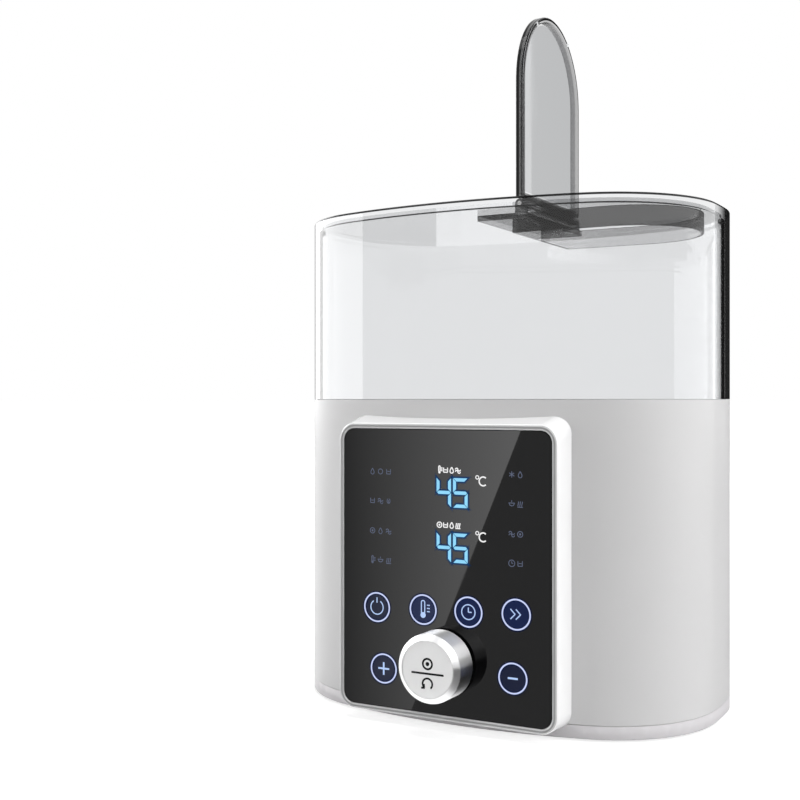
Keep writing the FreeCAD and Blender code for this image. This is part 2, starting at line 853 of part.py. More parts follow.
# The bezel flares a little towards the shell, and its top slopes up to the shell
def make_control_bezel():
    half = panel_width / 2
    loft_back = oval_front(half + bezel_flare, 0) + past
    front_wire = panel_wire(half, panel_bottom, panel_top, panel_corner_radius, panel_front)
    back_wire = panel_wire(half + bezel_flare, panel_bottom - bezel_flare / 2, panel_top + bezel_top_rise,
                           panel_corner_radius, loft_back)
    bezel = Part.makeLoft([front_wire, back_wire], True, True)
    bezel = bezel.makeFillet(bezel_edge_rounding, edges_in_plane_y(bezel, panel_front))
    inner_half = half - bezel_rim
    inner_low = panel_bottom + bezel_rim
    inner_high = panel_top - bezel_rim
    inner_corner = panel_corner_radius - bezel_rim
    for front, back in ((panel_front - past, ledge_front), (ledge_back, loft_back + past)):
        bezel = bezel.cut(panel_block(inner_half, inner_low, inner_high, inner_corner, front, back))
    window_corner = inner_corner - ledge_width / 2
    bezel = bezel.cut(panel_block(inner_half - ledge_width, inner_low + ledge_width, inner_high - ledge_width,
                                  window_corner, ledge_front - past, ledge_back + past))
    boss_front = ledge_back - ledge_thickness / 2
    for x, z in panel_screw_places():
        bezel = bezel.fuse(post_along_y(panel_boss_radius + bezel_fit, x, z, boss_front, loft_back))
    bezel = bezel.cut(oval_block(-bezel_fit, tray_bottom - past, hood_top))
    for x, z in panel_screw_places():
        bezel = bezel.cut(post_along_y(screw_hole_radius, x, z, panel_screw_tip(x) - screw_clearance, 0))
    return bezel.removeSplitter()


def panel_screw_head_y(x):
    return oval_front(abs(x) + screw_head_radius, shell_wall) + panel_screw_head_gap


def panel_screw_tip(x):
    return oval_front(abs(x), 0) - panel_screw_grip


def make_panel_screws():
    screws = []
    for x, z in panel_screw_places():
        head_front = panel_screw_head_y(x)
        head = post_along_y(screw_head_radius, x, z, head_front, head_front + screw_head_height)
        shank = post_along_y(screw_radius, x, z, panel_screw_tip(x), head_front)
        screws.append(head.fuse(shank))
    return Part.makeCompound(screws)


def make_front_glass():
    half = panel_width / 2 - bezel_rim - glass_clearance
    low = panel_bottom + bezel_rim + glass_clearance
    high = panel_top - bezel_rim - glass_clearance
    corner = panel_corner_radius - bezel_rim - glass_clearance
    glass = panel_block(half, low, high, corner, glass_front, glass_back)
    return glass.cut(post_along_y(glass_hole_radius, 0, knob_z, glass_front - past, glass_back + past))


def make_glass_seal():
    half = panel_width / 2 - bezel_rim - glass_clearance
    low = panel_bottom + bezel_rim + glass_clearance
    high = panel_top - bezel_rim - glass_clearance
    corner = panel_corner_radius - bezel_rim - glass_clearance
    seal = panel_block(half, low, high, corner, glass_back, ledge_front)
    inner_corner = corner - seal_width / 2
    return seal.cut(panel_block(half - seal_width, low + seal_width, high - seal_width, inner_corner,
                                glass_back - past, ledge_front + past))


def make_display_board():
    half = panel_width / 2 - bezel_rim - glass_clearance
    low = panel_bottom + bezel_rim + glass_clearance
    high = panel_top - bezel_rim - glass_clearance
    board = box(-half, half, ledge_back, display_board_back, low, high)
    room = panel_boss_radius + display_board_gap
    for x, z in panel_screw_places():
        x0, x1 = (x - room, half + past) if x > 0 else (-half - past, x + room)
        z0, z1 = (low - past, z + room) if z < panel_bottom + panel_height / 2 else (z - room, high + past)
        board = board.cut(box(x0, x1, ledge_back - past, display_board_back + past, z0, z1))
    hole = post_along_y(bushing_radius + snug, 0, knob_z, ledge_back - past, display_board_back + past)
    return board.cut(hole)


def make_display(centre_z):
    x0 = display_offset_x - display_width / 2
    z0 = centre_z - display_height / 2
    return box(x0, x0 + display_width, glass_back + display_gap, ledge_back, z0, z0 + display_height)


def make_touch_springs():
    springs = []
    front = glass_back + display_gap
    for x, z in key_places():
        springs.append(ring_along_y(spring_radius, spring_hole_radius, x, z, front, ledge_back))
    return Part.makeCompound(springs)


def make_encoder_body():
    half = encoder_size / 2
    bushing_front = glass_front
    cavity_back = encoder_back - plunger_disc_thickness
    body = box(-half, half, display_board_back, encoder_back, knob_z - half, knob_z + half)
    body = body.fuse(post_along_y(bushing_radius, 0, knob_z, bushing_front, display_board_back + past))
    bore = post_along_y(shaft_radius + running_clearance, 0, knob_z, bushing_front - past, cavity_back)
    rod_hole = post_along_y(plunger_rod_radius + running_clearance, 0, knob_z,
                            cavity_back - past, encoder_back + past)
    return body.cut(bore).cut(rod_hole).removeSplitter()


def make_encoder_nut():
    reach = nut_flats / math.sqrt(3)
    front = glass_back + display_gap
    corners = []
    for index in range(7):
        angle = math.pi / 3 * index
        corners.append(vec(reach * math.cos(angle), front, knob_z + reach * math.sin(angle)))
    nut = Part.Face(Part.makePolygon(corners)).extrude(vec(0, ledge_back - front, 0))
    return nut.cut(post_along_y(bushing_radius + screw_clearance, 0, knob_z, glass_front, display_board_back))


def make_knob_collar():
    return ring_along_y(collar_radius, collar_hole_radius, 0, knob_z, collar_front, glass_front)


# The shaft ends in the encoder, just in front of the plunger's disc
def shaft_back():
    return encoder_back - 2 * plunger_disc_thickness - press_travel - 2 * running_clearance - snug


def make_encoder_shaft():
    tip = knob_front + knob_face_thickness + knob_front_wall + snug
    shaft = post_along_y(shaft_radius, 0, knob_z, tip, shaft_back())
    flat = box(-shaft_radius, shaft_radius, tip - past, tip + shaft_flat_length,
               knob_z + shaft_radius - shaft_flat_depth, knob_z + shaft_radius + past)
    return shaft.cut(flat)


def make_encoder_plunger():
    disc_front = shaft_back() + running_clearance
    disc_back = disc_front + plunger_disc_thickness
    disc = post_along_y(shaft_radius, 0, knob_z, disc_front, disc_back)
    rod = post_along_y(plunger_rod_radius, 0, knob_z, disc_back, encoder_back + plunger_rod_end)
    return disc.fuse(rod).removeSplitter()


def turned_about_knob(outline):
    points = [vec(radius, y, knob_z) for radius, y in outline]
    points.append(points[0])
    face = Part.Face(Part.makePolygon(points))
    return face.revolve(vec(0, 0, knob_z), vec(0, 1, 0), 360)


def make_knob_body():
    chamfer_y = knob_front + knob_chamfer_depth
    face_y = knob_front + knob_face_thickness
    ceiling = face_y + knob_front_wall
    bore = shaft_radius + screw_clearance
    outline = [
        (bore, ceiling),
        (bore, knob_back),
        (knob_hub_radius, knob_back),
        (knob_hub_radius, ceiling),
        (knob_radius - knob_wall, ceiling),
        (knob_radius - knob_wall, knob_back),
        (knob_radius, knob_back),
        (knob_radius, chamfer_y),
        (knob_face_radius + screw_clearance, knob_front),
        (knob_face_radius + screw_clearance, face_y),
        (0, face_y),
        (0, ceiling),
    ]
    return turned_about_knob(outline)


def make_knob_face():
    disc = post_along_y(knob_face_radius, 0, knob_z, knob_front, knob_front + knob_face_thickness)
    return disc.makeFillet(knob_face_thickness / 3, edges_in_plane_y(disc, knob_front))


def make_hood_wall():
    wall = oval_block(0, hood_bottom, plate_underside)
    rim_low = plate_underside - hood_rim_depth
    wall = wall.cut(oval_block(hood_wall_thickness, hood_bottom - past, rim_low))
    return wall.cut(oval_block(hood_rim_wall, rim_low - past, plate_underside + past))


# A clear ring under the hood's wall that drops inside the shell's rim and centres the hood
def make_hood_seal():
    outer = shell_rim_wall + hood_seal_gap
    low = deck_top + hood_seal_gap
    seal = oval_block(outer, low, hood_bottom)
    return seal.cut(oval_block(outer + hood_seal_wall, low - past, hood_bottom + past))


# A plan with a straight side towards the hinge and a half-elliptical far end
def arched_face(start_x, end_x, half_width, arch_length, z):
    shoulder = end_x - arch_length
    ellipse = arch_edges(shoulder, arch_length, half_width, z)
    edges = [
        Part.LineSegment(vec(shoulder, half_width, z), vec(start_x, half_width, z)).toShape(),
        Part.LineSegment(vec(start_x, half_width, z), vec(start_x, -half_width, z)).toShape(),
        Part.LineSegment(vec(start_x, -half_width, z), vec(shoulder, -half_width, z)).toShape(),
    ]
    return Part.Face(Part.Wire(edges + ellipse))


# Half an ellipse from (shoulder, -half_width) round to (shoulder, half_width), in two quarters
def arch_edges(shoulder, arch_length, half_width, z):
    centre = vec(shoulder, 0, z)
    tip = vec(shoulder + arch_length, 0, z)
    quarter = math.pi / 2
    if arch_length >= half_width:
        curve = Part.Ellipse(tip, vec(shoulder, half_width, z), centre)
        return [curve.toShape(-quarter, 0), curve.toShape(0, quarter)]
    curve = Part.Ellipse(vec(shoulder, -half_width, z), tip, centre)
    return [curve.toShape(0, quarter), curve.toShape(quarter, 2 * quarter)]


def arched_block(start_x, end_x, half_width, arch_length, low, high):
    return arched_face(start_x, end_x, half_width, arch_length, low).extrude(vec(0, 0, high - low))


def opening_start_x():
    return hinge_x + bracket_front + opening_edge_gap


def knuckle_span():
    return lid_half_width - knuckle_length, lid_half_width


def make_hood_top():
    plate = oval_block(0, plate_underside, hood_top)
    plate = plate.makeFillet(hood_edge_rounding, horizontal_edges(plate, hood_top))
    hole = arched_block(opening_start_x(), opening_end_x, opening_half_width, opening_arch_length,
                        plate_underside - past, hood_top + past)
    plate = plate.cut(hole)
    low, high = knuckle_span()
    for side in (-1, 1):
        y0, y1 = sorted((side * low, side * high))
        plate = plate.cut(box(hinge_x - knuckle_radius - snug, hinge_x + knuckle_radius + snug,
                              y0 - snug, y1 + snug, plate_underside - past, hood_top + past))
    return plate


def bracket_block(clearance):
    y = lid_half_width + clearance
    return box(hinge_x - bracket_reach, hinge_x + bracket_front + clearance, -y, y,
               plate_underside - bracket_depth - clearance, plate_underside)


def make_opening_collar():
    low = plate_underside - collar_drop
    half = opening_half_width + collar_wall
    arch = opening_arch_length + collar_wall
    collar = arched_block(collar_start_x, opening_end_x + collar_wall, half, arch, low, plate_underside)
    collar = collar.cut(arched_block(collar_start_x + collar_wall, opening_end_x, opening_half_width,
                                     opening_arch_length, low - past, plate_underside + past))
    return collar.cut(bracket_block(0))


def make_hinge_bracket():
    bracket = bracket_block(0)
    low, high = knuckle_span()
    for side in (-1, 1):
        y0, y1 = sorted((side * low, side * high))
        arm = box(hinge_x - knuckle_radius, hinge_x + knuckle_radius, y0, y1, plate_underside - past, hinge_z)
        knuckle = post_along_y(knuckle_radius, hinge_x, hinge_z, y0, y1)
        bracket = bracket.fuse(arm).fuse(knuckle)
    bracket = bracket.cut(post_along_y(hinge_pin_radius + screw_clearance, hinge_x, hinge_z,
                                       -lid_half_width - past, lid_half_width + past))
    return bracket.removeSplitter()


def make_hinge_pin():
    return post_along_y(hinge_pin_radius, hinge_x, hinge_z, -lid_half_width, lid_half_width)


# The lid stands open: its plan is drawn lying down and turned up about the hinge
def stood_up(shape):
    shape.rotate(vec(hinge_x, 0, hinge_z), vec(0, 1, 0), -90)
    return shape


def make_lid_rim():
    low = hinge_z - lid_thickness / 2
    high = hinge_z + lid_thickness / 2
    start = hinge_x + lid_start
    end = hinge_x + lid_length
    frame = arched_block(start, end, lid_half_width, lid_arch_length, low, high)
    inner = arched_block(start + lid_frame_width, end - lid_frame_width, lid_half_width - lid_frame_width,
                         lid_arch_length - lid_frame_width, low - past, high + past)
    frame = frame.cut(inner)
    barrel_half = lid_half_width - knuckle_length - knuckle_gap
    web = box(hinge_x, start + lid_frame_width / 2, -barrel_half, barrel_half,
              hinge_z - lid_web_thickness / 2, hinge_z + lid_web_thickness / 2)
    barrel = post_along_y(knuckle_radius, hinge_x, hinge_z, -barrel_half, barrel_half)
    rim = frame.fuse(web).fuse(barrel)
    bore = post_along_y(hinge_pin_radius + running_clearance, hinge_x, hinge_z,
                        -barrel_half - past, barrel_half + past)
    return stood_up(rim.cut(bore).removeSplitter())


def make_lid_panel():
    start = hinge_x + lid_start + lid_frame_width
    end = hinge_x + lid_length - lid_frame_width
    half = lid_half_width - lid_frame_width - screw_clearance
    arch = lid_arch_length - lid_frame_width
    panel = arched_block(start + screw_clearance, end - screw_clearance, half, arch,
                         hinge_z - lid_panel_thickness / 2, hinge_z + lid_panel_thickness / 2)
    return stood_up(panel)


def make_lid_bumpers():
    bumpers = []
    low = hinge_z - lid_thickness / 2
    for y in (-bumper_pitch / 2, bumper_pitch / 2):
        x = lid_frame_centre_x(abs(y))
        bumpers.append(post(bumper_radius, x, y, low - bumper_thickness, low))
    return stood_up(Part.makeCompound(bumpers))


# The middle of the lid's frame in the arch, at y from its centre line
def lid_frame_centre_x(y):
    half = lid_half_width - lid_frame_width / 2
    arch = lid_arch_length - lid_frame_width / 2
    return hinge_x + lid_length - lid_arch_length + arch * math.sqrt(1 - (y / half) ** 2)


def make_bottle_rack():
    rack = slot_block(well_pitch, well_radius - rack_gap, rack_plate_bottom, rack_plate_top)
    cup_top = rack_plate_top + cup_height
    for side in (-1, 1):
        x = side * well_pitch / 2
        cup = post(cup_inner_radius + cup_wall, x, 0, rack_plate_top - past, cup_top)
        cup = cup.cut(post(cup_inner_radius, x, 0, rack_plate_top - 2 * past, cup_top + past))
        rack = rack.fuse(cup)
        for y in (-well_radius / 2, well_radius / 2):
            nub = post(rack_nub_radius, x, y, tank_floor_top + rack_seat_gap, rack_plate_bottom + past)
            rack = rack.fuse(nub)
        for index in range(water_hole_count):
            angle = 2 * math.pi / water_hole_count * index
            hole = post(water_hole_radius, x + water_hole_circle * math.cos(angle),
                        water_hole_circle * math.sin(angle), rack_plate_bottom - past, rack_plate_top + past)
            rack = rack.cut(hole)
    top = deck_top - handle_top_drop
    half = handle_thickness / 2
    web = panel_turned(handle_half_width, rack_plate_top - past, top, handle_rounding, half)
    gap_top = top - handle_bar
    gap = panel_turned(handle_half_width - handle_bar, gap_top - finger_gap_height, gap_top,
                       handle_rounding, half + past)
    return rack.fuse(web.cut(gap)).removeSplitter()


# A rounded rectangle across the rack: wide along Y, upright, and thick along X
def panel_turned(half_width, low, high, radius, half_thickness):
    block = panel_block(half_width, low, high, radius, -half_thickness, half_thickness)
    block.rotate(vec(0, 0, 0), vec(0, 0, 1), 90)
    return block


def make_rack_pads():
    pads = []
    pad_top = rack_plate_top + pad_thickness
    for side in (-1, 1):
        x = side * well_pitch / 2
        pad = post(pad_outer_radius, x, 0, rack_plate_top, pad_top)
        pads.append(pad.cut(post(pad_inner_radius, x, 0, rack_plate_top - past, pad_top + past)))
    return Part.makeCompound(pads)


parts = {
    "base_tray": make_base_tray(),
    "rubber_feet": make_rubber_feet(),
    "tray_screws": make_tray_screws(),
    "outer_shell": make_outer_shell(),
    "top_deck": make_top_deck(),
    "tank_gasket": make_tank_gasket(),
    "water_tank": make_water_tank(),
    "tank_screws": make_tank_screws(),
    "heater_plate": make_heater_plate(),
    "heater_element": make_heater_element(),
    "heater_clamps": make_heater_clamps(),
    "heater_screws": make_heater_screws(),
    "thermal_cutoff": make_thermal_cutoff(),
    "temperature_probe": make_temperature_probe(),
    "power_board": make_power_board(),
    "power_components": make_power_components(),
    "board_screws": make_board_screws(),
    "buzzer": make_buzzer(),
    "heater_leads": make_heater_leads(),
    "mains_inlet": make_mains_inlet(),
    "inlet_pins": make_inlet_pins(),
    "inlet_leads": make_inlet_leads(),
    "control_bezel": make_control_bezel(),
    "panel_screws": make_panel_screws(),
    "front_glass": make_front_glass(),
    "glass_seal": make_glass_seal(),
    "display_board": make_display_board(),
    "upper_display": make_display(upper_display_z),
    "lower_display": make_display(lower_display_z),
    "touch_springs": make_touch_springs(),
    "encoder_body": make_encoder_body(),
    "encoder_nut": make_encoder_nut(),
    "knob_collar": make_knob_collar(),
    "encoder_plunger": make_encoder_plunger(),
    "encoder_shaft": make_encoder_shaft(),
    "knob_body": make_knob_body(),
    "knob_face": make_knob_face(),
    "hood_seal": make_hood_seal(),
    "hood_wall": make_hood_wall(),
    "hood_top": make_hood_top(),
    "opening_collar": make_opening_collar(),
    "hinge_bracket": make_hinge_bracket(),
    "hinge_pin": make_hinge_pin(),
    "lid_rim": make_lid_rim(),
    "lid_panel": make_lid_panel(),
    "lid_bumpers": make_lid_bumpers(),
    "bottle_rack": make_bottle_rack(),
    "rack_pads": make_rack_pads(),
}

os.makedirs("parts", exist_ok=True)
for name, shape in parts.items():
    shape.exportStep("parts/" + name + ".step")
    solids = len(shape.Solids)
    print(f"{name}: solids {solids}, valid {shape.isValid()}, {shape.Volume:.0f} mm3")
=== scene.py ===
import json
import math

import bmesh
import bpy
from mathutils import Matrix, Vector

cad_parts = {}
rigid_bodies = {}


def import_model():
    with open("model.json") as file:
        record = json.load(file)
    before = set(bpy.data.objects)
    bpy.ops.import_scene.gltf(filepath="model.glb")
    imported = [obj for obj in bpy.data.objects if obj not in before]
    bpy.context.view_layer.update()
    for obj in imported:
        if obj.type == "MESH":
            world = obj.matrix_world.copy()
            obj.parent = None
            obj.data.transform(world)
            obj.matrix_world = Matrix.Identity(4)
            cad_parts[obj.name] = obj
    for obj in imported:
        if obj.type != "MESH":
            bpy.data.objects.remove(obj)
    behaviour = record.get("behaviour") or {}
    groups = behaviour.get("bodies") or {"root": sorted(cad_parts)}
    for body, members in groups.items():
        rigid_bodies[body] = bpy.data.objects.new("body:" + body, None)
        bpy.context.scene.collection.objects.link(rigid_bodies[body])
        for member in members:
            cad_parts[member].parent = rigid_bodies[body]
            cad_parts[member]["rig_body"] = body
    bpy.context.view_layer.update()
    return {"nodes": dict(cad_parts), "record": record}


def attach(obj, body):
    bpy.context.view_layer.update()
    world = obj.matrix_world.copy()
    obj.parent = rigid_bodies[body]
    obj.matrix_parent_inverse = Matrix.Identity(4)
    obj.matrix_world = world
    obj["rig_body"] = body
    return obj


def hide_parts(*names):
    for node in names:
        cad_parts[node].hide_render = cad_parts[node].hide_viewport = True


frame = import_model()
print("frame loaded:", len(frame["nodes"]), "CAD nodes")

# Everything below is drawn in millimetres and shrunk to metres when a piece is finished.
# Origin: middle of the footprint, on the table. +X lid end, -Y control panel, +Z up.
toMetres = Matrix.Scale(0.001, 4)
faceFront = Matrix.Rotation(math.radians(90), 4, "X")  # stands a flat shape up, towards -Y


# Adds a shader node and gives its outputs. Each input takes a value or the output of another node
def addNode(tree, kind, inputs={}, **settings):
    node = tree.nodes.new("ShaderNode" + kind)
    node.location = (200 * len(tree.nodes), 0)
    for key, value in settings.items():
        setattr(node, key, value)
    for key, value in inputs.items():
        if isinstance(value, bpy.types.NodeSocket):
            tree.links.new(value, node.inputs[key])
        else:
            node.inputs[key].default_value = value
    return node.outputs


def mathNode(tree, operation, first, second, clamp=False):
    return addNode(tree, "Math", {0: first, 1: second}, operation=operation, use_clamp=clamp)[0]


def mixColors(tree, share, first, second):
    return addNode(tree, "Mix", {"Factor": share, "A": first, "B": second}, data_type="RGBA")["Result"]


def mixShaders(tree, share, first, second):
    return addNode(tree, "MixShader", {0: share, 1: first, 2: second})[0]


def noise(tree, place, scale, detail, roughness, distortion=0.0):
    return addNode(tree, "TexNoise", {"Vector": place, "Scale": scale, "Detail": detail, "Roughness": roughness,
                                      "Distortion": distortion})["Fac"]


# A colour with its alpha, from three channels or one grey
def rgba(color, share=1.0):
    channels = color if isinstance(color, tuple) else (color,) * 3
    return (*[min(1, channel * share) for channel in channels], 1)


# A node group on Object coordinates. build adds its nodes and gives its outputs. A tuple is a vector input
def newGroup(name, inputs, build):
    group = bpy.data.node_groups.new(name, "ShaderNodeTree")
    for label, value in inputs.items():
        kind = "NodeSocketVector" if isinstance(value, tuple) else "NodeSocketFloat"
        group.interface.new_socket(name=label, in_out="INPUT", socket_type=kind).default_value = value
    place = addNode(group, "TexCoord")["Object"]
    results = build(group, place, group.nodes.new("NodeGroupInput").outputs)
    for label in results:
        group.interface.new_socket(name=label, in_out="OUTPUT", socket_type="NodeSocketFloat")
    leave = group.nodes.new("NodeGroupOutput")
    for label, source in results.items():
        group.links.new(source, leave.inputs[label])
    return group


# Fine moulded grain and slow patchiness
def mouldedGrain(group, place, entry):
    return {"Grain": noise(group, place, entry["Grain Scale"], 3.0, 0.6),
            "Patch": noise(group, place, entry["Patch Scale"], 2.0, 0.45)}


# Thumb smears and wiping streaks: a mask for roughness
def handlingSmears(group, place, entry):
    stretched = addNode(group, "Mapping", {"Vector": place, "Rotation": (0.3, 0.5, 0.2),
                                           "Scale": (1.0, 1.0, 0.35)})
    blotch = noise(group, stretched[0], entry["Scale"], 5.0, 0.62, 0.8)
    shape = addNode(group, "MapRange", {"Value": blotch, "From Min": 0.46, "From Max": 0.72})
    return {"Smear": mathNode(group, "MULTIPLY", shape[0], entry["Amount"])}


# Long thin lines along one axis, as drawn or brushed metal has
def brushedLines(group, place, entry):
    stretched = addNode(group, "VectorMath", {0: place, 1: entry["Stretch"]}, operation="MULTIPLY")
    return {"Lines": noise(group, stretched[0], entry["Scale"], 4.0, 0.7)}


grainGroup = newGroup("mouldedGrain", {"Grain Scale": 1500.0, "Patch Scale": 14.0}, mouldedGrain)
smearGroup = newGroup("handlingSmears", {"Scale": 30.0, "Amount": 0.5}, handlingSmears)
brushGroup = newGroup("brushedLines", {"Stretch": (1.0, 60.0, 60.0), "Scale": 40.0}, brushedLines)


# A material whose nodes build adds, from the look, down to the shader that it gives back
def newMaterial(name, build, look):
    material = bpy.data.materials.new(name)
    material.use_nodes = True
    tree = material.node_tree
    tree.nodes.clear()
    addNode(tree, "OutputMaterial", {"Surface": build(tree, look)})
    return material


# An opaque finish: colour with slow patchiness, grain in the bump, smears in the roughness
def opaque(tree, look):
    grain = addNode(tree, "Group", {"Grain Scale": look.get("grainScale", 1500.0),
                                    "Patch Scale": look.get("patchScale", 14.0)}, node_tree=grainGroup)
    smear = addNode(tree, "Group", {"Scale": look.get("smearScale", 30.0), "Amount": look.get("smear", 0.05)},
                    node_tree=smearGroup)
    shift = look.get("patch", 0.03)
    tint = mixColors(tree, grain["Patch"], rgba(look["color"], 1 - shift), rgba(look["color"], 1 + shift))
    rough = mathNode(tree, "ADD", smear["Smear"], look["roughness"], clamp=True)
    height = grain["Grain"]
    if "lines" in look:
        height = addNode(tree, "Group", {"Stretch": look["lines"]}, node_tree=brushGroup)["Lines"]
        rough = mathNode(tree, "ADD", rough, mathNode(tree, "MULTIPLY", height, 0.1), clamp=True)
    bump = addNode(tree, "Bump", {"Height": height, "Strength": look.get("bump", 0.15),
                                  "Distance": look.get("depth", 0.0001)})
    skin = {"Base Color": tint, "Roughness": rough, "Normal": bump[0],
            "Metallic": look.get("metallic", 0.0), "IOR": look.get("ior", 1.5),
            "Coat Weight": look.get("coat", 0.0), "Coat Roughness": look.get("coatRoughness", 0.08),
            "Subsurface Weight": look.get("subsurface", 0.0), "Subsurface Radius": (0.002, 0.002, 0.002)}
    if "turned" in look:
        around = addNode(tree, "Tangent", direction_type="RADIAL", axis="Y")
        skin.update({"Anisotropic": look["turned"], "Anisotropic Rotation": 0.25, "Tangent": around[0]})
    return addNode(tree, "BsdfPrincipled", skin)[0]


finishes = {
    "body_white": dict(color=(0.70, 0.696, 0.70), roughness=0.33, coat=0.12, coatRoughness=0.2,
                       grainScale=2200, bump=0.12, depth=0.00006, patch=0.012),
    "tray_grey": dict(color=(0.65, 0.633, 0.65), roughness=0.42, grainScale=1800, bump=0.2),
    "foot_rubber": dict(color=(0.05, 0.05, 0.053), roughness=0.75, grainScale=900, bump=0.4, smear=0.12),
    "screw_steel": dict(color=(0.60, 0.60, 0.62), metallic=1.0, roughness=0.3, grainScale=1200, bump=0.1),
    "silicone": dict(color=(0.66, 0.67, 0.68), roughness=0.5, subsurface=0.2, grainScale=700),
    "tank_coating": dict(color=(0.055, 0.057, 0.062), roughness=0.36, patch=0.35, patchScale=2600,
                         grainScale=1400, bump=0.3),
    "heater_aluminium": dict(color=(0.74, 0.74, 0.75), metallic=1.0, roughness=0.45, grainScale=500,
                             bump=0.5),
    "element_steel": dict(color=(0.56, 0.55, 0.54), metallic=1.0, roughness=0.28, lines=(60.0, 1.0, 60.0)),
    "black_part": dict(color=(0.022, 0.022, 0.024), roughness=0.5, grainScale=1600, bump=0.3, smear=0.1),
    "board_green": dict(color=(0.012, 0.10, 0.045), roughness=0.3, coat=0.4, grainScale=600, patch=0.15),
    "lead_white": dict(color=(0.72, 0.71, 0.67), roughness=0.55, subsurface=0.1, grainScale=900),
    "pin_brass": dict(color=(0.74, 0.56, 0.26), metallic=1.0, roughness=0.2, lines=(60.0, 1.0, 60.0)),
    "bezel_pearl": dict(color=(0.97, 0.97, 0.972), roughness=0.16, coat=0.7, coatRoughness=0.04, smear=0.04,
                        grainScale=3200, bump=0.05, patch=0.01),
    # Painted reflection: two darker grey copies of the pearl finish for the bezel's front faces
    "bezelLipPaintedReflection": dict(color=(0.66, 0.66, 0.663), roughness=0.2, coat=0.5, coatRoughness=0.05, grainScale=3200,
                     bump=0.05, patch=0.01),
    "bezelRimPaintedReflection": dict(color=(0.33, 0.33, 0.333), roughness=0.3, grainScale=3200, bump=0.05, patch=0.01),
    "panel_glass": dict(color=(0.004, 0.004, 0.0044), roughness=0.012, ior=1.27, smear=0.03, smearScale=22,
                        grainScale=300, bump=0.001, patch=0.1),
    "collar_black": dict(color=(0.010, 0.010, 0.011), roughness=0.35, bump=0.2),
    "knob_chrome": dict(color=(0.93, 0.93, 0.935), metallic=1.0, roughness=0.36, smear=0.02, smearScale=60,
                        grainScale=500, bump=0.01, turned=1.0),
    "knob_disc": dict(color=0.80, metallic=0.2, roughness=0.36, grainScale=2600, bump=0.12, depth=0.00004),
    "rack_grey": dict(color=(0.70, 0.71, 0.72), roughness=0.45, bump=0.2, subsurface=0.05),
    "dialInk": dict(color=(0.006, 0.006, 0.0065), roughness=0.6, ior=1.2),
}
materials = {name: newMaterial(name, opaque, look) for name, look in finishes.items()}


# Clear or smoked plastic: light passes straight on, each surface tints it, most where it is seen edge-on,
# and the outer side mirrors by Fresnel
def seeThrough(tree, look):
    facing = addNode(tree, "LayerWeight", {"Blend": 0.5})["Facing"]
    behind = addNode(tree, "NewGeometry")["Backfacing"]
    outer = look.get("outerEdge", (0.9, 1.0))
    sides = ((look["color"], outer), (look.get("backColor", look["color"]), look.get("innerEdge", outer)))
    tints = []
    for color, (low, high) in sides:
        ramp = addNode(tree, "MapRange", {"Value": facing, "From Min": low, "From Max": high},
                       interpolation_type="SMOOTHSTEP")
        tints.append(mixColors(tree, ramp[0], rgba(color), rgba(look.get("edgeColor", color))))
    through = addNode(tree, "BsdfTransparent", {"Color": mixColors(tree, behind, *tints)})
    smear = addNode(tree, "Group", {"Scale": 25.0, "Amount": 0.04}, node_tree=smearGroup)
    rough = mathNode(tree, "ADD", smear["Smear"], 0.02, clamp=True)
    mirror = addNode(tree, "BsdfGlossy", {"Color": (1, 1, 1, 1), "Roughness": rough})
    shine = addNode(tree, "Fresnel", {"IOR": look["ior"]})
    share = mathNode(tree, "MULTIPLY", shine[0], mathNode(tree, "SUBTRACT", 1.0, behind))
    return mixShaders(tree, share, through[0], mirror[0])


clears = {
    "hood_clear": dict(color=(0.925, 0.928, 0.932), edgeColor=0.012, outerEdge=(0.733, 0.778),
                       innerEdge=(0.80, 0.92), ior=1.5),
    "hoodPlate": dict(color=(0.92, 0.922, 0.926), ior=1.28),
    # Painted shade: the two near-black tints below darken the hood's rounded edge and rim on its near side
    "hoodEdgePaintedShade": dict(color=(0.03, 0.03, 0.031), ior=1.2),
    "hoodRimPaintedShade": dict(color=(0.05, 0.05, 0.051), ior=1.2),
    "lid_smoke": dict(color=(0.60, 0.60, 0.605), edgeColor=0.20, outerEdge=(0.6, 1.0), ior=1.1),
    # Painted shade on the lid frame: near black, mid dark and pale from the front, all pale from behind
    "smokeBlackPaintedShade": dict(color=0.02, backColor=0.66, ior=1.15),
    "smokeMiddlePaintedShade": dict(color=0.20, backColor=0.74, ior=1.15),
    "smokePale": dict(color=0.86, backColor=0.88, ior=1.15),
    # Painted shade for the smoked parts under the hood: dark outer walls, pale inner walls
    "smokeOuterPaintedShade": dict(color=0.15, backColor=0.86, ior=1.05),
    "smokeInnerPaintedPale": dict(color=0.84, backColor=0.88, ior=1.05),
    "lid_window": dict(color=(0.775, 0.78, 0.786), edgeColor=0.40, outerEdge=(0.75, 1.0), ior=1.5),
    # Painted highlight along the window's rim
    "windowEdgeHighlight": dict(color=0.97, edgeColor=0.9, outerEdge=(0.75, 1.0), ior=1.5),
}
materials.update({name: newMaterial(name, seeThrough, look) for name, look in clears.items()})
print("materials made:", len(materials))

slotOfNode = {part["node"]: part["material_slot"] for part in frame["record"]["subparts"]}
for nodeName, node in frame["nodes"].items():
    node.data.materials.clear()
    node.data.materials.append(materials[slotOfNode[nodeName]])


def meshObject(name, bm):
    mesh = bpy.data.meshes.new(name)
    bm.to_mesh(mesh)
    bm.free()
    made = bpy.data.objects.new(name, mesh)
    bpy.context.scene.collection.objects.link(made)
    return made


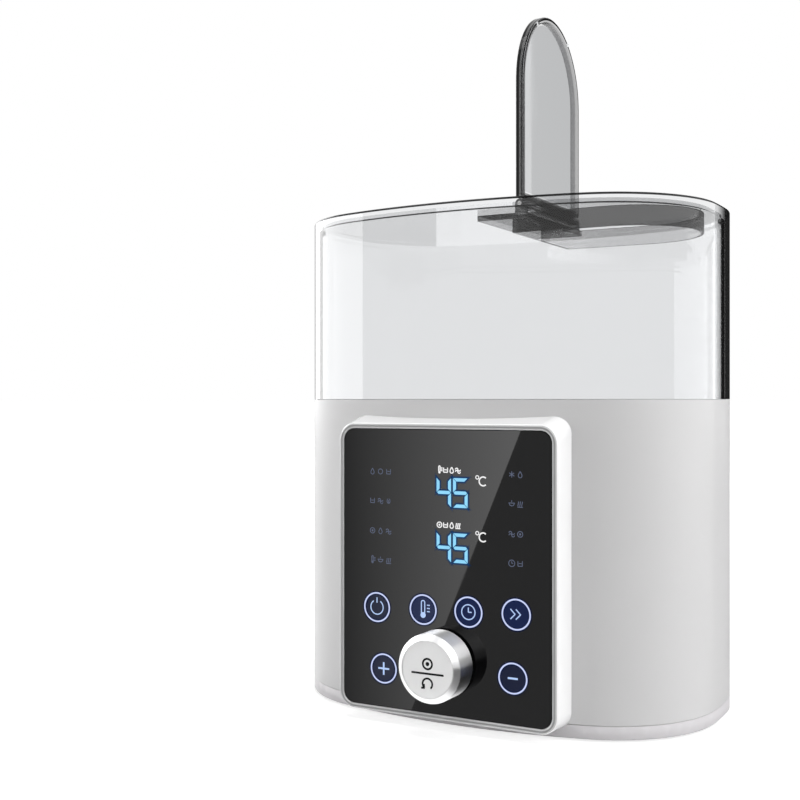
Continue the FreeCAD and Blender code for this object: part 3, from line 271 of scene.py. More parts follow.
# Turns a bmesh drawn in millimetres into a smooth-shaded piece that rides on a body and replaces CAD nodes
def makePiece(bm, name, nodes, slotName=None, body=None, finish=None, sharpAngle=30):
    bm.transform(toMetres)
    piece = meshObject(name, bm)
    piece.data.shade_smooth()
    piece.data.set_sharp_from_angle(angle=math.radians(sharpAngle))
    slotName = slotName or slotOfNode[nodes[0]]
    piece.data.materials.append(materials[finish or slotName])
    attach(piece, body or frame["nodes"][nodes[0]]["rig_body"])
    if nodes:
        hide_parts(*nodes)
    # Large flats keep their own shading beside narrow rounded edges
    even = piece.modifiers.new("evenShading", "WEIGHTED_NORMAL")
    even.keep_sharp = True
    even.weight = 80
    return piece


def finishPiece(bm, name, nodes, weld=0.0005, sharpAngle=32, **rest):
    bmesh.ops.remove_doubles(bm, verts=bm.verts, dist=weld)
    bmesh.ops.recalc_face_normals(bm, faces=bm.faces)
    return makePiece(bm, name, nodes, sharpAngle=sharpAngle, **rest)


# A smooth-shaded copy of a CAD node. Faces at the height "lowered" drop a hair, clear of what they touch
def smoothCopy(nodeName, name, lowered=None):
    bm = bmesh.new()
    bm.from_mesh(frame["nodes"][nodeName].data)
    bm.transform(toMetres.inverted())
    bmesh.ops.remove_doubles(bm, verts=bm.verts, dist=0.0005)
    if lowered is not None:
        flush = [vert for vert in bm.verts if abs(vert.co.z - lowered) < 0.005]
        bmesh.ops.translate(bm, vec=(0, 0, -0.05), verts=flush)
    return makePiece(bm, name, [nodeName])


# Gives the faces that test picks a finish of their own
def paintFaces(piece, name, test):
    piece.data.materials.append(materials[name])
    index = len(piece.data.materials) - 1
    for face in piece.data.polygons:
        if test(face.center * 1000, face.normal):
            face.material_index = index


def since(items, before):
    return [item for item in items if item not in before]


def vertsOf(edges):
    return list({vert for edge in edges for vert in edge.verts})


def bridge(bm, first, second):
    bmesh.ops.bridge_loops(bm, edges=first + second)


def bridgeAll(bm, loops, closed=True):
    for first, second in zip(loops, loops[1:]):
        bridge(bm, first, second)
    if closed:
        bridge(bm, loops[-1], loops[0])


def roundEdges(bm, edges, radius, segments=3):
    bmesh.ops.bevel(bm, geom=[edge for edge in edges if edge.is_valid], offset=radius, offset_type="OFFSET",
                    segments=segments, profile=0.5, affect="EDGES", material=-1, clamp_overlap=True)


def sweepVert(bm, start, centre, axis, angle, steps):
    made = bmesh.ops.spin(bm, geom=[start], cent=centre, axis=axis, angle=angle, steps=steps, use_merge=False)
    return [item for item in made["geom_last"] if isinstance(item, bmesh.types.BMVert)][0]


# Turns a closed outline of (radius, y) points about an axis along y
def lathe(bm, outline, x, z, steps):
    verts = [bm.verts.new((x + radius, y, z)) for radius, y in outline]
    edges = [bm.edges.new((first, second)) for first, second in zip(verts, verts[1:] + verts[:1])]
    bmesh.ops.spin(bm, geom=verts + edges, cent=(x, 0, z), axis=(0, 1, 0), angle=2 * math.pi, steps=steps,
                   use_merge=True)


ovalPlan = dict(length=210.0, depth=144.0, frontRadius=253.0, endRadius=500.0, cornerRadius=57.5, endSteps=2,
                cornerSteps=26, frontSteps=10)


# Centres and turns of the arcs in one quarter of the oval plan
def ovalArcs():
    sideY = ovalPlan["depth"] / 2 - ovalPlan["frontRadius"]
    endX = ovalPlan["length"] / 2 - ovalPlan["endRadius"]
    sideReach = ovalPlan["frontRadius"] - ovalPlan["cornerRadius"]
    endReach = ovalPlan["endRadius"] - ovalPlan["cornerRadius"]
    apart = math.hypot(endX, sideY)
    along = (sideReach ** 2 - endReach ** 2 + apart ** 2) / (2 * apart)
    across = math.sqrt(sideReach ** 2 - along ** 2)
    stepX, stepY = endX / apart, -sideY / apart
    cornerX = along * stepX + across * stepY
    cornerY = sideY + along * stepY - across * stepX
    endTurn = math.atan2(cornerY, cornerX - endX)
    sideTurn = math.atan2(cornerY - sideY, cornerX)
    return [
        ((endX, 0), endTurn, ovalPlan["endSteps"]),
        ((cornerX, cornerY), sideTurn - endTurn, ovalPlan["cornerSteps"]),
        ((0, sideY), math.pi / 2 - sideTurn, ovalPlan["frontSteps"]),
    ]


quarterArcs = ovalArcs()


# How far forward the oval reaches at x
def ovalFront(x):
    radius = ovalPlan["frontRadius"]
    return radius - ovalPlan["depth"] / 2 - math.sqrt(radius ** 2 - x ** 2)


# The closed oval outline, drawn in by inset, at height z
def ovalLoop(bm, inset, z):
    before = set(bm.edges)
    vert = bm.verts.new((ovalPlan["length"] / 2 - inset, 0, z))
    for (x, y), turn, steps in quarterArcs:
        vert = sweepVert(bm, vert, (x, y, z), (0, 0, 1), turn, steps)
    for axis in ("X", "Y"):
        fresh = since(bm.edges, before)
        bmesh.ops.mirror(bm, geom=vertsOf(fresh) + fresh, matrix=Matrix(), merge_dist=0.001, axis=axis)
    return since(bm.edges, before)


shell = dict(low=7.0, high=150.0, wall=2.5, rimWall=1.35, deckTop=147.5, seamChamfer=0.5, topRounding=0.4)


def makeShell():
    bm = bmesh.new()
    low, high, deck = shell["low"], shell["high"], shell["deckTop"]
    rings = [(0, low), (0, high), (shell["rimWall"], high), (shell["rimWall"], deck), (shell["wall"], deck),
             (shell["wall"], low)]
    loops = [ovalLoop(bm, inset, z) for inset, z in rings]
    bridgeAll(bm, loops)
    roundEdges(bm, loops[0], shell["seamChamfer"], 1)
    roundEdges(bm, loops[1], shell["topRounding"])
    finishPiece(bm, "bodyShell", ["outer_shell"])


makeShell()
print("shell made")


hood = dict(low=150.2, high=241.0, wall=2.5, rimLow=236.4, rimWall=4.0, plateLow=239.0, edgeRounding=1.2,
            slotWidth=4.7, slotDepth=5.7, slotY=34.3, shadeSlope=0.35)
opening = dict(start=23.0, end=94.0, half=34.5, arch=34.0)
hinge = dict(x=18.5, z=243.4, knuckleRadius=2.2)


# An outline with a straight side towards the hinge and a half-elliptical far end
def archLoop(bm, start, end, half, arch, z, steps=40):
    before = set(bm.edges)
    shoulder = end - arch
    low = bm.verts.new((shoulder, -half, z))
    high = sweepVert(bm, low, (shoulder, 0, z), (0, 0, 1), math.pi, steps)
    bmesh.ops.scale(bm, vec=(arch / half, 1, 1), space=Matrix.Translation((-shoulder, 0, 0)),
                    verts=vertsOf(since(bm.edges, before)))
    corners = [bm.verts.new((start, half, z)), bm.verts.new((start, -half, z))]
    for pair in ((high, corners[0]), corners, (corners[1], low)):
        bm.edges.new(pair)
    return since(bm.edges, before)


def fillBetween(bm, outer, inner):
    bmesh.ops.triangle_fill(bm, use_beauty=True, use_dissolve=False, edges=outer + inner)


def unitGrid(bm):
    return bmesh.ops.create_grid(bm, x_segments=1, y_segments=1, size=0.5)["verts"]


def boxLoop(bm, x, y, z, width, depth):
    before = set(bm.edges)
    verts = unitGrid(bm)
    place = Matrix.Translation((x, y, z)) @ Matrix.Diagonal((width, depth, 1, 1))
    bmesh.ops.transform(bm, matrix=place, verts=verts)
    faces = {face for vert in verts for face in vert.link_faces}
    bmesh.ops.delete(bm, geom=list(faces), context="FACES_ONLY")
    return since(bm.edges, before)


def makeHood():
    bm = bmesh.new()
    high, under, rounding = hood["high"], hood["plateLow"], hood["edgeRounding"]
    wall, rimWall, rimLow = hood["wall"], hood["rimWall"], hood["rimLow"]
    rings = [(rimWall, under), (rimWall, rimLow + 1.0), (wall, rimLow), (wall, hood["low"]), (0, hood["low"])]
    for step in range(7):
        turn = math.radians(15 * step)
        rings.append((rounding * (1 - math.cos(turn)), high - rounding * (1 - math.sin(turn))))
    loops = [ovalLoop(bm, inset, z) for inset, z in rings]
    bridgeAll(bm, loops, closed=False)
    holes = {}
    for z in (under, high):
        holes[z] = [archLoop(bm, z=z, **opening)]
        for y in (-hood["slotY"], hood["slotY"]):
            holes[z].append(boxLoop(bm, hinge["x"], y, z, hood["slotWidth"], hood["slotDepth"]))
    for low, top in zip(holes[under], holes[high]):
        bridge(bm, low, top)
    fillBetween(bm, loops[-1], sum(holes[high], []))
    fillBetween(bm, loops[0], sum(holes[under], []))
    piece = finishPiece(bm, "clearHood", ["hood_wall", "hood_top"])

    # Painted shade: the rim and its rounded edge are painted near black only where they face forward, towards
    # the camera's side; the far side stays clear
    def forward(centre):
        return centre.y < hood["shadeSlope"] * centre.x

    paintFaces(piece, "hoodPlate", lambda centre, normal: abs(normal.z) > 0.9 and centre.z > under - 1)
    paintFaces(piece, "hoodEdgePaintedShade", lambda centre, normal: centre.z > high - rounding + 0.01
               and 0.05 < normal.z < 0.98 and forward(centre))
    paintFaces(piece, "hoodRimPaintedShade", lambda centre, normal: -0.95 < normal.z < -0.05
               and centre.z > rimLow - 0.4 and forward(centre))


makeHood()
print("hood made")


lid = dict(start=2.7, length=97.0, half=37.0, arch=38.0, thickness=4.0, frame=2.4, edge=0.6,
           panelThickness=1.8, panelGap=0.05, rimLight=1.1, band=1.5, darkFront=1.8, darkBack=0.9, web=2.0,
           webStart=1.5, barrelHalf=31.2, bore=1.15)


# The lid is drawn lying down and turned up about its hinge
def standUp(bm):
    pivot = Matrix.Translation((hinge["x"], 0, hinge["z"]))
    bm.transform(pivot @ Matrix.Rotation(math.radians(-90), 4, "Y") @ pivot.inverted())


def lidLoop(bm, inset, z):
    start, end = hinge["x"] + lid["start"] + inset, hinge["x"] + lid["length"] - inset
    return archLoop(bm, start, end, lid["half"] - inset, lid["arch"] - inset, z)


# How far outside the lid's outline, drawn in by inset, a point lies. Inside it is below zero
def lidReach(centre, inset=0):
    half, arch = lid["half"] - inset, lid["arch"] - inset
    shoulder = hinge["z"] + lid["length"] - lid["arch"]
    if centre.z > shoulder:
        return (math.hypot(centre.y / half, (centre.z - shoulder) / arch) - 1) * half
    return max(abs(centre.y) - half, hinge["z"] + lid["start"] + inset - centre.z)


def makeLidFrame():
    bm = bmesh.new()
    low, high = hinge["z"] - lid["thickness"] / 2, hinge["z"] + lid["thickness"] / 2
    lift = 5.0  # keeps the inner loops apart from the outer ones while they are bridged
    rings = [(lid["band"], low), (0, low), (0, low + lid["darkBack"]), (0, high - lid["darkFront"]), (0, high),
             (lid["band"], high), (lid["frame"], high + lift), (lid["frame"], low - lift)]
    loops = [lidLoop(bm, inset, z) for inset, z in rings]
    bridgeAll(bm, loops)
    for loop, drop in ((loops[-2], -lift), (loops[-1], lift)):
        bmesh.ops.translate(bm, vec=(0, 0, drop), verts=vertsOf(loop))
    roundEdges(bm, loops[1] + loops[4], lid["edge"])
    start, end = lid["webStart"], lid["start"] + lid["frame"] / 2
    place = (Matrix.Translation((hinge["x"] + (end + start) / 2, 0, hinge["z"]))
             @ Matrix.Diagonal((end - start, lid["barrelHalf"] * 2, lid["web"], 1)))
    bmesh.ops.transform(bm, matrix=place, verts=bmesh.ops.create_cube(bm, size=1.0)["verts"])
    bore, knuckle, half = lid["bore"], hinge["knuckleRadius"], lid["barrelHalf"]
    lathe(bm, [(bore, -half), (knuckle, -half), (knuckle, half), (bore, half)], hinge["x"], hinge["z"], 32)
    standUp(bm)
    piece = finishPiece(bm, "lidFrame", ["lid_rim"])
    foot = hinge["z"] + lid["start"] - 0.1
    darkLow = hinge["x"] - lid["thickness"] / 2 + lid["darkFront"]
    darkHigh = hinge["x"] + lid["thickness"] / 2 - lid["darkBack"]

    def outside(centre):
        return centre.z > foot and lidReach(centre) > -0.1

    # How deep inside the outline a spot on the two flat sides lies
    def depth(centre, normal):
        return -lidReach(centre) if centre.z > foot and abs(normal.x) > 0.9 else 0

    # Painted shade: the outer wall is painted near black along both edges with a mid-dark strip between, and
    # the flat sides near black in a band along the outline and pale inside it; from behind these tints are pale
    paintFaces(piece, "smokeBlackPaintedShade",
               lambda centre, normal: outside(centre) and not darkLow <= centre.x <= darkHigh)
    paintFaces(piece, "smokeMiddlePaintedShade", lambda centre, normal: outside(centre) and darkLow < centre.x < darkHigh)
    paintFaces(piece, "smokeBlackPaintedShade", lambda centre, normal: 0 < depth(centre, normal) < lid["band"])
    paintFaces(piece, "smokePale", lambda centre, normal: depth(centre, normal) > lid["band"])


def makeLidWindow():
    bm = bmesh.new()
    inset = lid["frame"] + lid["panelGap"]
    edge = inset + lid["rimLight"]
    low, high = hinge["z"] - lid["panelThickness"] / 2, hinge["z"] + lid["panelThickness"] / 2
    loops = [lidLoop(bm, margin, z) for margin, z in ((edge, low), (inset, low), (inset, high), (edge, high))]
    bridgeAll(bm, loops, closed=False)
    for loop in (loops[0], loops[-1]):
        bmesh.ops.triangle_fill(bm, use_beauty=True, use_dissolve=True, edges=loop)
    standUp(bm)
    piece = finishPiece(bm, "lidWindow", ["lid_panel"])
    # Painted highlight: the band along the window's rim is painted nearly clear, lighter than the rest of the
    # window
    paintFaces(piece, "windowEdgeHighlight", lambda centre, normal: lidReach(centre, edge) > 0)


makeLidFrame()
makeLidWindow()
print("lid made")


panel = dict(half=55.0, low=5.0, high=139.0, corner=8.0, front=-80.5, loftBack=-64.7, flare=1.0, topRise=4.3,
             rim=2.35, rimFlat=1.7, lipFront=-80.15, edgeRounding=0.9, ledgeFront=-77.7, ledgeBack=-76.1,
             ledge=3.0, fit=0.05)


# The panel's outline, a rounded rectangle facing the front, drawn in by inset, at depth y
def panelLoop(bm, inset, y, steps=14):
    before = set(bm.edges)
    corner = panel["corner"]
    radius = corner - inset
    x, low, high = panel["half"] - corner, panel["low"] + corner, panel["high"] - corner
    ends = []
    for index, (centreX, centreZ) in enumerate(((x, high), (-x, high), (-x, low), (x, low))):
        turn = math.pi / 2 * index
        start = bm.verts.new((centreX + radius * math.cos(turn), y, centreZ + radius * math.sin(turn)))
        ends.append((start, sweepVert(bm, start, (centreX, y, centreZ), (0, -1, 0), math.pi / 2, steps)))
    for index, (start, end) in enumerate(ends):
        bm.edges.new((end, ends[(index + 1) % 4][0]))
    return since(bm.edges, before)


# Moves a loop at the panel's front back onto the shell, or along the flare of the bezel's side
def dropOntoShell(loop, flared):
    middle = (panel["low"] + panel["high"]) / 2
    for vert in vertsOf(loop):
        x, z = vert.co.x, vert.co.z - middle
        if flared:
            share = (ovalFront(x) - panel["fit"] - panel["front"]) / (panel["loftBack"] - panel["front"])
            rise = panel["topRise"] if z > 0 else panel["flare"] / 2
            scaleX = min(1, abs(x) / (panel["half"] - panel["corner"]))
            scaleZ = min(1, abs(z) / (panel["high"] - middle - panel["corner"]))
            vert.co.x += math.copysign(panel["flare"], x) * share * scaleX
            vert.co.z += math.copysign(rise, z) * share * scaleZ
        vert.co.y = ovalFront(vert.co.x) - panel["fit"]


def makeBezel():
    bm = bmesh.new()
    front, rim, lip, ledgeBack = panel["front"], panel["rim"], panel["lipFront"], panel["ledgeBack"]
    hollow = rim + panel["ledge"]
    rings = [(0, front), (0, front), (panel["rimFlat"], front), (rim, lip), (rim, panel["ledgeFront"]),
             (hollow, panel["ledgeFront"]), (hollow, ledgeBack), (rim, ledgeBack), (rim, front)]
    loops = [panelLoop(bm, inset, y) for inset, y in rings]
    dropOntoShell(loops[0], True)
    dropOntoShell(loops[-1], False)
    bridgeAll(bm, loops)
    roundEdges(bm, loops[1], panel["edgeRounding"], 4)
    piece = finishPiece(bm, "panelBezel", ["control_bezel"], sharpAngle=28)
    middle = (panel["low"] + panel["high"]) / 2
    flat, reach = front + 0.02, rim - 0.01

    def inside(centre):
        return abs(centre.x) < panel["half"] - reach and abs(centre.z - middle) < panel["high"] - middle - reach

    # Painted reflection: the flat front is painted dark grey and the lip's slope mid grey, standing in for the
    # grey surroundings they mirror; flank and top stay pearl white
    paintFaces(piece, "bezelRimPaintedReflection", lambda centre, normal: normal.y < -0.99 and centre.y < flat)
    paintFaces(piece, "bezelLipPaintedReflection", lambda centre, normal: -0.99 < normal.y < -0.8 and flat < centre.y < lip)
    paintFaces(piece, "collar_black", lambda centre, normal: lip < centre.y < ledgeBack and inside(centre))


glass = dict(inset=2.7, front=-80.2, back=-78.2, edge=0.25, hole=8.0, holeZ=31.0)


def makeGlass():
    bm = bmesh.new()
    outlines, holes = [], []
    for y in (glass["front"], glass["back"]):
        outlines.append(panelLoop(bm, glass["inset"], y))
        before = set(bm.edges)
        place = Matrix.Translation((0, y, glass["holeZ"])) @ faceFront
        bmesh.ops.create_circle(bm, cap_ends=False, segments=48, radius=glass["hole"], matrix=place)
        holes.append(since(bm.edges, before))
        fillBetween(bm, outlines[-1], holes[-1])
    bridge(bm, *outlines)
    bridge(bm, *holes)
    roundEdges(bm, outlines[0], glass["edge"], 2)
    finishPiece(bm, "panelGlass", ["front_glass"])


makeBezel()
makeGlass()
print("control panel made")


knob = dict(z=glass["holeZ"], radius=15.5, front=-95.7, back=-82.2, chamferDepth=2.0, backLip=0.35,
            faceRadius=12.8, faceDepth=1.0, faceSlack=0.05, faceBulge=9.5, wall=2.0, hub=5.5, bore=3.05,
            ceiling=-92.7)
gapRing = dict(bore=4.4, radius=14.4, thickness=0.8, chamfer=0.2)


def turnOnKnobAxis(outline, name, nodeName):
    bm = bmesh.new()
    lathe(bm, outline, 0, knob["z"], 96)
    finishPiece(bm, name, [nodeName])


def makeKnob():
    radius, front, back, lip = knob["radius"], knob["front"], knob["back"], knob["backLip"]
    bore, hub, ceiling, inner = knob["bore"], knob["hub"], knob["ceiling"], radius - knob["wall"]
    shoulder, face = front + knob["chamferDepth"], front + knob["faceDepth"]
    seat = knob["faceRadius"] + knob["faceSlack"]
    turnOnKnobAxis([
        (bore, ceiling), (bore, back), (hub, back), (hub, ceiling), (inner, ceiling), (inner, back),
        (radius - lip, back), (radius, back + lip), (radius, shoulder + 0.3),
        (radius - 0.12, shoulder - 0.15), (seat + 0.3, front + 0.12), (seat, front), (seat, face), (bore, face),
    ], "knobBarrel", "knob_body")


# The face is very slightly domed and stops a hair short of the barrel's rim
def makeKnobFace():
    radius, front, face = knob["faceRadius"], knob["front"], knob["front"] + knob["faceDepth"]
    turnOnKnobAxis([
        (0.01, front + 0.25), (knob["faceBulge"], front + 0.25), (radius - 0.9, front + 0.12),
        (radius - 0.35, front + 0.02), (radius, front + 0.3), (radius, face), (0.01, face),
    ], "knobDisc", "knob_face")


def makeKnobCollar():
    bore, radius, cut = gapRing["bore"], gapRing["radius"], gapRing["chamfer"]
    back, front = glass["front"], glass["front"] - gapRing["thickness"]
    outline = [(bore, back), (radius, back), (radius, front + cut * 0.75), (radius - cut, front), (bore, front)]
    turnOnKnobAxis(outline, "knobGapRing", "knob_collar")


makeKnob()
makeKnobFace()
makeKnobCollar()
print("knob made")


# Lit marks behind the glass, drawn as thin slabs a hair in front of it
marks = dict(front=glass["front"], proud=0.06, thickness=0.04, strokeStep=0.003, digitHalo=1.1,
             digitGlowDepth=-0.02, ringGlowDepth=-0.03, fillDepth=-0.015, wordFill=0.5, plainFill=0.28,
             keyHalo=0.9, keyRing=6.6, keyStroke=0.7, iconStroke=0.5, signStroke=0.85, digitWidth=7.3,
             digitHeight=13.3, digitStroke=1.5, digitGap=0.17)


# Light with a slow unevenness
def lit(tree, color):
    grain = addNode(tree, "Group", {"Patch Scale": 260.0}, node_tree=grainGroup)
    tint = mixColors(tree, grain["Patch"], rgba(color, 0.86), rgba(color, 1.12))
    return addNode(tree, "BsdfPrincipled", {"Base Color": (0.01, 0.01, 0.012, 1), "Roughness": 0.4,
                                            "Emission Color": tint, "Emission Strength": 1.0})[0]


# Glow round a lit mark, fading out with the mesh's own "fade" attribute
def glowing(tree, color):
    glow = addNode(tree, "Emission", {"Color": rgba(color), "Strength": 1.0})
    fade = mathNode(tree, "POWER", addNode(tree, "Attribute", attribute_name="fade")["Fac"], 1.3)
    return mixShaders(tree, fade, addNode(tree, "BsdfTransparent")[0], glow[0])


lights = {"digitLight": (0.23, 0.64, 0.95), "ringLight": (0.55, 0.62, 0.95), "iconLight": (0.42, 0.58, 0.95),
          "captionLight": 0.88, "dimLight": (0.046, 0.064, 0.125)}
glows = {"digitGlow": (0.004, 0.055, 0.19), "ringGlow": (0.004, 0.012, 0.06),
         "keyFillGlow": (0.015, 0.034, 0.15)}
materials.update({name: newMaterial(name, lit, color) for name, color in lights.items()})
materials.update({name: newMaterial(name, glowing, color) for name, color in glows.items()})


def layFlat(bm, verts, x, z, angle=0.0, size=(1, 1)):
    place = (Matrix.Translation((x, marks["front"], z)) @ Matrix.Rotation(math.radians(-angle), 4, "Y")
             @ faceFront @ Matrix.Diagonal((*size, 1, 1)))
    bmesh.ops.transform(bm, matrix=place, verts=verts)


def bar(bm, x, z, length, width, angle=0.0):
    layFlat(bm, unitGrid(bm), x, z, angle, (length, width))


def dot(bm, x, z, radius):
    layFlat(bm, bmesh.ops.create_circle(bm, cap_ends=True, segments=20, radius=radius)["verts"], x, z)


def arc(bm, x, z, radius, width, start=0.0, turn=360.0):
    first = math.radians(start)
    ends = [bm.verts.new((x + reach * math.cos(first), marks["front"], z + reach * math.sin(first)))
            for reach in (radius - width / 2, radius + width / 2)]
    steps = max(6, round(turn / 9 * min(1.6, math.sqrt(max(radius, 1)))))
    bmesh.ops.spin(bm, geom=ends + [bm.edges.new(ends)], cent=(x, 0, z), axis=(0, -1, 0),
                   angle=math.radians(turn), steps=steps, use_merge=turn >= 360)


# One bar of a digit: pointed at both ends, or mitred so that its outer edge is the longer one
def segment(bm, x, z, length, width, angle, spare):
    height = width + spare * 2
    if angle is None:
        reach = length / 2 + spare * math.sqrt(2)
        verts = bmesh.ops.create_grid(bm, x_segments=2, y_segments=2, size=height / 2)["verts"]
        for vert in verts:
            inward = height / 2 if abs(vert.co.y) > height * 0.4 else 0
            vert.co.x = 0 if abs(vert.co.x) < height * 0.2 else math.copysign(reach - inward, vert.co.x)
    else:
        reach = length / 2 + spare * (1 + math.sqrt(2))
        verts = unitGrid(bm)
        for vert in verts:
            vert.co.x = math.copysign(reach - (height if vert.co.y < 0 else 0), vert.co.x)
            vert.co.y *= height
    layFlat(bm, verts, x, z, angle or 0)


def digit(bm, number, x, z, spare=0.0):
    stroke, gap = marks["digitStroke"], marks["digitGap"]
    width, height = marks["digitWidth"], marks["digitHeight"]
    side, rise = (width - stroke) / 2, (height - stroke) / 2
    across, down = width - gap * 2, height / 2 - gap * 2
    places = {"top": (0, rise, across, 0), "bottom": (0, -rise, across, 180),
              "middle": (0, 0, across - gap, None), "topLeft": (-side, height / 4, down, 90),
              "topRight": (side, height / 4, down, -90), "lowRight": (side, -height / 4, down, -90)}
    strokes = {4: ("topLeft", "topRight", "middle", "lowRight"),
               5: ("top", "topLeft", "middle", "lowRight", "bottom")}
    for name in strokes[number]:
        dx, dz, length, angle = places[name]
        segment(bm, x + dx, z + dz, length, stroke, angle, spare)


# Small pictograms on a square about 3 wide, as strokes round the middle: bars have a length and an angle,
# dots a radius, arcs a radius, a start and a turn
pictograms = {
    "power": [("arc", 0, 0, 1.0, 122, 296), ("bar", 0, 1.0, 0.75, 90)],
    "heat": [("dot", 0, -0.85, 0.46), ("bar", -0.3, 0.3, 1.7, 90), ("bar", 0.3, 0.3, 1.7, 90),
             ("arc", 0, 1.13, 0.3, 0, 180), ("bar", 0.95, 0.75, 0.5, 0), ("bar", 0.95, 0.25, 0.5, 0),
             ("bar", 0.95, -0.25, 0.5, 0)],
    "clock": [("arc", 0, 0, 1.1, 0, 360), ("bar", 0, 0.33, 0.72, 90), ("bar", 0.27, 0, 0.55, 0)],
    "fast": [("bar", -0.55, 0.4, 1.1, -45), ("bar", -0.55, -0.35, 1.1, 45), ("bar", 0.35, 0.4, 1.1, -45),
             ("bar", 0.35, -0.35, 1.1, 45)],
    "plus": [("bar", 0, 0, 2.0, 0), ("bar", 0, 0, 2.0, 90)],
    "minus": [("bar", 0, 0, 1.7, 0)],
    "ring": [("arc", 0, 0, 0.9, 0, 360)],
    "cup": [("bar", -0.8, 0.05, 1.7, 90), ("bar", 0.8, 0.05, 1.7, 90), ("bar", 0, -0.8, 1.6, 0),
            ("bar", 0, 0.1, 1.0, 0)],
    "snow": [("bar", 0, 0, 2.1, 90), ("bar", 0, 0, 2.1, 30), ("bar", 0, 0, 2.1, -30)],
    "wave": [("arc", -0.5, 0.3, 0.5, 0, 180), ("arc", 0.5, 0.3, 0.5, 180, 180),
             ("arc", -0.5, -0.5, 0.5, 0, 180), ("arc", 0.5, -0.5, 0.5, 180, 180)],
    "steam": [("bar", -0.7, 0.1, 1.7, 78), ("bar", 0, 0.1, 1.7, 78), ("bar", 0.7, 0.1, 1.7, 78),
              ("bar", 0, -1.0, 2.0, 0)],
    "drop": [("arc", 0, -0.35, 0.68, 160, 220), ("bar", -0.36, 0.5, 1.35, 62), ("bar", 0.36, 0.5, 1.35, -62)],
    "bowl": [("arc", 0, 0.3, 0.95, 180, 180), ("bar", 0, 0.3, 2.3, 0), ("bar", 0, 0.95, 0.6, 90)],
    "leaf": [("arc", -0.5, 0, 1.1, -48, 96), ("arc", 0.5, 0, 1.1, 132, 96), ("bar", 0, -0.3, 1.3, 90)],
    "target": [("arc", 0, 0, 0.95, 0, 360), ("dot", 0, 0, 0.38)],
    "turn": [("arc", 0, 0, 1.0, -50, 280), ("bar", -0.93, -0.80, 0.75, 2), ("bar", -0.69, -0.42, 0.75, 98)],
}


# Each stroke stands a hair before the last, so that crossing strokes share no surface
def pictogram(bm, name, x, z, size, width):
    for index, (kind, dx, dz, reach, *turns) in enumerate(pictograms[name]):
        before = set(bm.verts)
        place = (bm, x + dx * size, z + dz * size, reach * size)
        if kind == "dot":
            dot(*place)
        elif kind == "bar":
            bar(*place, width, *turns)
        else:
            arc(*place, width, *turns)
        bmesh.ops.translate(bm, vec=(0, -marks["strokeStep"] * index, 0), verts=since(bm.verts, before))


def finishMarks(bm, name, lightName, body="base", slotName="panel_glass", depth=-marks["proud"]):
    bmesh.ops.translate(bm, vec=(0, depth, 0), verts=bm.verts)
    bmesh.ops.remove_doubles(bm, verts=bm.verts, dist=0.0005)
    bmesh.ops.solidify(bm, geom=bm.faces[:], thickness=marks["thickness"])
    finishPiece(bm, name, [], slotName=slotName, body=body, finish=lightName, weld=0.00001)


# A glow is the same mark drawn fatter. Its rim fades to nothing, and a disc is evenly faint
def finishGlow(bm, name, glowName, reach, depth, level=None):
    bmesh.ops.remove_doubles(bm, verts=bm.verts, dist=0.0005)
    if level is None:
        bmesh.ops.inset_region(bm, faces=bm.faces[:], thickness=reach, use_even_offset=True, use_boundary=True)
    fade = bm.verts.layers.float.new("fade")
    for vert in bm.verts:
        vert[fade] = level or (0.0 if vert.is_boundary else 1.0)
    bmesh.ops.translate(bm, vec=(0, depth, 0), verts=bm.verts)
    for face in bm.faces:
        face.normal_update()
        if face.normal.y > 0:
            face.normal_flip()
    bm.transform(toMetres)
    piece = meshObject(name, bm)
    piece.data.materials.append(materials[glowName])
    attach(piece, "base")


readouts = {
    "upper": dict(z=108.1, caption=("heat", "cup", "drop", "wave")),
    "lower": dict(z=83.3, caption=("target", "cup", "drop", "steam")),
}
digitPlaces = ((4, 0.3), (5, 8.6))
caption = dict(x=-1.9, rise=10.1, pitch=3.1, size=1.25, stroke=0.5)
# Each key's place and the size of its mark
keys = {"power": (-34.6, 53.4, 3.3), "heat": (-10.3, 54.3, 2.9), "clock": (12.6, 55.1, 3.0),
        "fast": (35.8, 56.0, 2.9), "plus": (-31.0, 25.2, 2.9), "minus": (34.2, 27.9, 2.8)}
plainKeys = ("power", "plus", "minus")
# Two columns of dim labels: their middle, their pitch, and the marks at each height
labels = [(-32.7, 4.3, {116.6: ("drop", "ring", "cup"), 103.0: ("cup", "wave", "leaf"),
                        89.0: ("target", "drop", "wave"), 75.4: ("heat", "bowl", "steam")}),
          (35.7, 4.0, {117.2: ("snow", "drop"), 104.3: ("bowl", "steam"), 91.2: ("wave", "target"),
                       78.3: ("clock", "cup")})]


# Two digits, and a degree sign and four small marks beside and above them
def makeReadouts():
    for name, look in readouts.items():
        z = look["z"]
        bm, glow = bmesh.new(), bmesh.new()
        for number, x in digitPlaces:
            digit(bm, number, x, z)
            digit(glow, number, x, z, marks["digitHalo"])
        finishMarks(bm, name + "Digits", "digitLight")
        finishGlow(glow, name + "DigitGlow", "digitGlow", marks["digitHalo"], marks["digitGlowDepth"])
        bm = bmesh.new()
        arc(bm, 17.0, z + 7.3, 0.75, 0.42)
        arc(bm, 19.9, z + 5.6, 1.95, 0.62, 48, 264)
        for index, pick in enumerate(look["caption"]):
            pictogram(bm, pick, caption["x"] + index * caption["pitch"], z + caption["rise"], caption["size"],
                      caption["stroke"])
        finishMarks(bm, name + "Caption", "captionLight")


